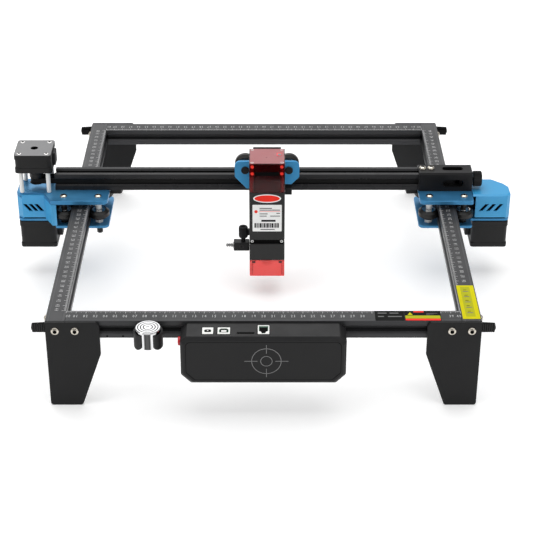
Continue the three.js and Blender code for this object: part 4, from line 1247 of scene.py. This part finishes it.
def make_laser_body():
    x0, x1, y0, y1 = BODY_LOW.x, BODY_HIGH.x, LASER_FRONT, LASER_BACK
    waist_low, waist_high = WAIST
    prism("laser_heat_sink", [finned_outline(x0, x1, y0 + 1.4, y1)], waist_high, BODY_HIGH.z, "plan",
          "heat_sink",
          "laser_module", 0.25, 1, ["laser_body"])
    block("laser_front_panel", (x0 + 0.9, x1 - 0.9), (y0, y0 + 1.6), (waist_high, BODY_HIGH.z),
          "laser_paint", "laser_module",
          0.3, 0.3)
    # The recessed waist is a near-black block: painted shade.
    block("laser_waist", (x0 + 1.2, x1 - 1.2), (y0 + 1.4, y1 - 1), (waist_low - 0.2, waist_high + 0.2),
          "pit",
          "laser_module", 0.2)
    block("laser_nose", (x0, x1), (y0, y1), (BODY_LOW.z, waist_low), "laser_paint", "laser_module", 0.7,
          1)
    for index, x in enumerate((-13.1, 20.3)):
        button_screw(f"waist_screw_{index + 1}", (x, y0 + 1.5, waist_high - 2.3), "-y", 3.4, 1.6,
                     "nylon", "laser_module")


def make_laser_labels():
    face = LASER_FRONT
    left, right = CARRIAGE_X - 16.4, CARRIAGE_X + 16.6
    floor, roof = 85.9, 119.7

    def panel(name, loops, depth, finish):
        return prism(name, loops, face - depth - 0.06, face - depth + 0.02, "front", finish,
                     "laser_module", 0)

    panel("laser_label", [rectangle(left, right, floor, roof, 0.8)], 0.02, "label_white")
    panel("laser_label_dot", [circle(left + 4, roof - 8.6, 1.9)], 0.08, "label_red")
    panel("laser_label_rule", [rectangle(left + 7.5, right - 1.5, roof - 8.6, roof - 8.2)], 0.08,
          "label_red")
    lines = ((8, 22, 4.4), (8, 31, 6.6), (8, 17, 11.4), (27, 31, 10.8), (8, 16, 14.2), (20, 31, 14.2),
             (9, 25, 31.2))
    bars = [rectangle(left + start, left + stop, roof - drop - 0.45, roof - drop + 0.45) for start, stop,
            drop in lines]
    bars.append(rectangle(left + 10, left + 26, roof - 21.4, roof - 19))
    x = left + 2.2
    widths = (1.4, 0.5, 0.9, 0.5, 1.6, 0.5, 0.5, 1.2, 0.8, 1.6, 0.5, 0.9, 1.5, 0.5, 1.1, 0.6, 1.4)
    for width in widths:
        bars.append(rectangle(x, x + 1.2 * width, roof - 29, roof - 23.2))
        x += 1.2 * width + 0.52
    meshes = [prism_mesh([bar], face - 0.14, face - 0.06, "front") for bar in bars]
    joined("laser_label_bars", meshes, "label_black", "laser_module")

    middle, height = CARRIAGE_X + 0.1, 127.6

    def oval(a, b):
        return [(middle + a * math.cos(2 * math.pi * k / 72), height + b * math.sin(2 * math.pi * k / 72))
                for k in range(72)]

    panel("oval_badge_white", [oval(15.6, 5.3)], 0.02, "label_white")
    panel("oval_badge_red", [oval(14.2, 4.1)], 0.08, "label_red")


def make_laser_hood():
    refined("laser_top_cover", "hood", 0.8, 3)
    refined("cooling_fan", "plastic", 0.2, 1)
    x0, x1 = HOOD_LOW.x, HOOD_HIGH.x
    y0, y1 = HOOD_LOW.y, HOOD_HIGH.y
    floor, roof = HOOD_LOW.z, HOOD_HIGH.z
    middle_y = (y0 + y1) / 2
    square = rectangle(x0 + 2.4, x1 - 2.4, y0 + 2.2, y1 - 2.2, 3)
    well = list(reversed(circle(CARRIAGE_X, middle_y, 15.9)))
    prism("fan_shroud", [square, well], floor + 1, floor + 13.5, "plan", "plastic", "laser_module", 0.4)
    square = rectangle(x0 + 3, x1 - 3, y0 + 4.5, y1 - 4, 1)
    prism("driver_board", [square], floor + 18.5, floor + 19.6, "plan", "board", "laser_module", 0.1)
    block("driver_chip", (CARRIAGE_X - 7, CARRIAGE_X + 5), (middle_y - 6, middle_y + 4),
          (floor + 19.7, floor + 22.2),
          "plastic", "laser_module", 0.2)
    # A near-black panel and duct inside the hood: painted shade.
    block("hood_back_panel", (x0 + 2, x1 - 2), (y0 + 3.4, y0 + 4.4), (floor + 0.4, roof - 14), "pit",
          "laser_module", 0.2)
    block("hood_duct", (x0 + 6.5, x1 - 6.5), (y0 - 0.12, y0 + 0.6), (roof - 14.5, roof - 10), "pit",
          "laser_module", 0.1)
    # A thin film of the pinker copy over the hood's top: painted sheen.
    film("hood_sheen_film", (x0 + 1, x1 - 1), (y0 + 1, y1 - 1), (roof, roof + 0.12), "hood_top", 1,
         "laser_module")
    for index, (x,
                y) in enumerate(((x0 + 3.4, y0 + 3.4), (x1 - 3.4, y0 + 3.4), (x1 - 3.4, y1 - 3.4),
                                 (x0 + 3.4, y1 - 3.4))):
        button_screw(f"hood_screw_{index + 1}", (x, y, roof - 0.7), "+z", 4.6, 1.1, "nylon",
                     "laser_module")
        turned(f"hood_post_{index + 1}",
               [(0, floor + 1), (1.8, floor + 1), (1.8, roof - 1.7), (0, roof - 1.7)], (x, y, 0),
               "+z", "red", "laser_module", 0.1, sides=32)
    for index, x in enumerate((x0 + 3.6, x1 - 3.6)):
        for level, drop in enumerate((3.6, 12)):
            turned(f"hood_lug_{index + 1}_{level + 1}", [(0, 0), (1.9, 0), (1.9, 0.5), (0, 0.8)],
                   (x, y0 + 0.3, roof - drop), "-y", "label_red", "laser_module", 0, sides=24)
    block("hood_plug_housing", (x1 - 9.5, x1 - 3.2), (y0 + 20.5, y0 + 28.5), (roof - 0.05, roof + 0.4),
          "red",
          "laser_module", 0.1, 0.5)
    block("hood_plug", (x1 - 7.6, x1 - 3.9), (y0 + 21.4, y0 + 26), (roof + 0.3, roof + 0.45),
          "motor_steel", "laser_module", 0,
          0.3)


def make_laser_shield():
    refined("laser_shield", "shield", 0.7, 3)
    turned("lens_barrel_turned", [
        (0, 35.6), (2.6, 35.2), (3, 34.4), (3, 33), (5.4, 33), (6, 33.6), (6, 38, "knurl"),
        (6, 43, "knurl"), (6, 45.6),
        (0, 45.6),
    ], (CARRIAGE_X, (LASER_FRONT + LASER_BACK) / 2, 0), "+z", "brass", "laser_module", 0, ["lens_barrel"],
        sides=144, knurl=(24, 0.5))
    x0, x1 = SHIELD_LOW.x, SHIELD_HIGH.x
    roof = SHIELD_HIGH.z
    for side, x in (("left", x0 + 4.8), ("right", x1 - 4.8)):
        block(f"shield_clip_{side}", (x - 1.9, x + 1.9), (LASER_FRONT - 0.45, LASER_FRONT),
              (roof - 3, roof - 0.8), "plastic",
              "laser_module", 0.2, 0.1)
        edge = x0 + 3 if side == "left" else x1 - 3
        block(f"shield_edge_{side}", (edge - 0.35, edge + 0.35), (LASER_FRONT - 0.3, LASER_FRONT + 0.2),
              (SHIELD_LOW.z + 2.5, roof - 3.6), "hood", "laser_module", 0.05, 0.1)
    tab = rounded([(CARRIAGE_X - 4.6, roof, 0.2), (CARRIAGE_X - 3.4, roof - 3.2, 0.8),
                   (CARRIAGE_X + 3.4, roof - 3.2, 0.8), (CARRIAGE_X + 4.6, roof, 0.2)])
    prism("shield_tab", [tab], LASER_FRONT - 0.7, LASER_FRONT, "front", "shield", "laser_module", 0.2)


def make_air_nozzle():
    low, high = limits("air_nozzle")
    middle = (low.y + high.y) / 2
    left = -34.6
    block("air_block", (left, high.x), (low.y, high.y), (low.z, high.z), "anodised", "laser_module", 0.6,
          1.2, ["air_nozzle"])
    barb = [(0, 0), (2.9, 0), (2.9, 1.4), (1.5, 1.8)]
    for step in range(3):
        base = 2.6 + 2.1 * step
        barb += [(2.3, base), (1.5, base + 1.5)]
    barb += [(1.3, 8.9), (0, 8.9)]
    turned("air_barb", barb, (left, middle, 59.5), "-x", "grey_steel", "laser_module", 0.08, sides=48)
    turned("air_mounting_screw",
           [(0, 0), (2.4, 0), (2.4, 0.5), (1.2, 0.6, "hex"), (1.2, -0.6, "hex"), (0, -0.6)],
           (-25.5, low.y, 60), "-y", "dark_metal", "laser_module", 0.05, sides=36)
    place = ((limits("thumb_screw")[0].x + limits("thumb_screw")[1].x) / 2, middle, 0)
    turned("thumb_screw_knurled", [
        (0, 65.3), (2.5, 65.3), (2.5, 70), (4.6, 70.4), (5.2, 71.2, "knurl"), (5.2, 82.2, "knurl"),
        (4.6, 83.6), (2.6, 83.6),
        (2.4, 82.8), (0, 82.8),
    ], place, "+z", "anodised", "thumb_screw", 0, ["thumb_screw"], sides=168, knurl=(28, 0.45))
    block("air_arm", (-18.5, BODY_LOW.x + 0.2), (middle - 2, middle + 3), (73, 80), "anodised",
          "laser_module", 0.5)


# ---------------------------------------------------------------- stage, lights and camera


def plane(name, size, place):
    mesh = bpy.data.meshes.new(name)
    half = size / 2
    mesh.from_pydata([(-half, -half, 0), (half, -half, 0), (half, half, 0), (-half, half, 0)], [],
                     [(0, 1, 2, 3)])
    made = bpy.data.objects.new(name, mesh)
    made.location = place
    bpy.context.scene.collection.objects.link(made)
    return made


def area_light(name, place, target, size, power):
    data = bpy.data.lights.new(name, "AREA")
    data.shape = "RECTANGLE"
    data.size, data.size_y = size
    data.energy = power
    made = bpy.data.objects.new(name, data)
    made.location = place
    made.rotation_euler = (Vector(target) - Vector(place)).to_track_quat("-Z", "Y").to_euler()
    bpy.context.scene.collection.objects.link(made)


PAPER_TONE = 0.93
PAPER_GLOW = 0.22       # lifts the paper to white while it still takes soft shadows
SKY_STRENGTH = 0.42


def make_stage():
    floor = plane("floor", 40, (0, 0, 0))
    paper = bpy.data.materials.new("floor_paper")
    paper.use_nodes = True
    shader = paper.node_tree.nodes["Principled BSDF"]
    shader.inputs["Base Color"].default_value = (PAPER_TONE, PAPER_TONE, PAPER_TONE, 1)
    shader.inputs["Roughness"].default_value = 0.9
    shader.inputs["Specular IOR Level"].default_value = 0.0
    shader.inputs["Emission Color"].default_value = (1, 1, 1, 1)
    shader.inputs["Emission Strength"].default_value = PAPER_GLOW
    floor.data.materials.append(paper)

    world = bpy.data.worlds.new("studio")
    bpy.context.scene.world = world
    world.use_nodes = True
    background = world.node_tree.nodes["Background"]
    background.inputs["Color"].default_value = (1, 1, 1, 1)
    background.inputs["Strength"].default_value = SKY_STRENGTH

    area_light("overhead", (0.0, 0.1, 2.2), (0, 0, 0), (2.6, 2.2), 38)
    area_light("rear_bank", (-0.8, 2.6, 1.7), (0, 0, 0.1), (3.2, 1.6), 25)
    area_light("key_left", (-2.2, -1.2, 1.8), (0, 0, 0.1), (1.2, 1.2), 11)
    area_light("front_right", (1.6, -1.6, 1.3), (0.1, 0, 0), (0.9, 0.9), 6)


CAMERA_PLACE = (3.1, -1536, 901.1)
CAMERA_TILT = 60.34     # from straight down, in degrees
CAMERA_LENS = 102.3


def make_camera():
    data = bpy.data.cameras.new("camera")
    data.sensor_width = 36
    data.lens = CAMERA_LENS
    data.clip_end = 60
    made = bpy.data.objects.new("camera", data)
    made.location = at(*CAMERA_PLACE)
    made.rotation_euler = (math.radians(CAMERA_TILT), 0, 0)
    bpy.context.scene.collection.objects.link(made)
    bpy.context.scene.camera = made
    bpy.context.scene.view_settings.view_transform = "Standard"
    bpy.context.scene.view_settings.look = "None"


make_camera()
make_stage()
make_frame()
make_legs()
make_scales()
make_bar_labels()
make_rail_belts()
make_control_box()
make_gauge()
make_gantry_ends()
make_beam()
make_tensioner()
make_carriage()
make_laser_body()
make_laser_labels()
make_laser_hood()
make_laser_shield()
make_air_nozzle()
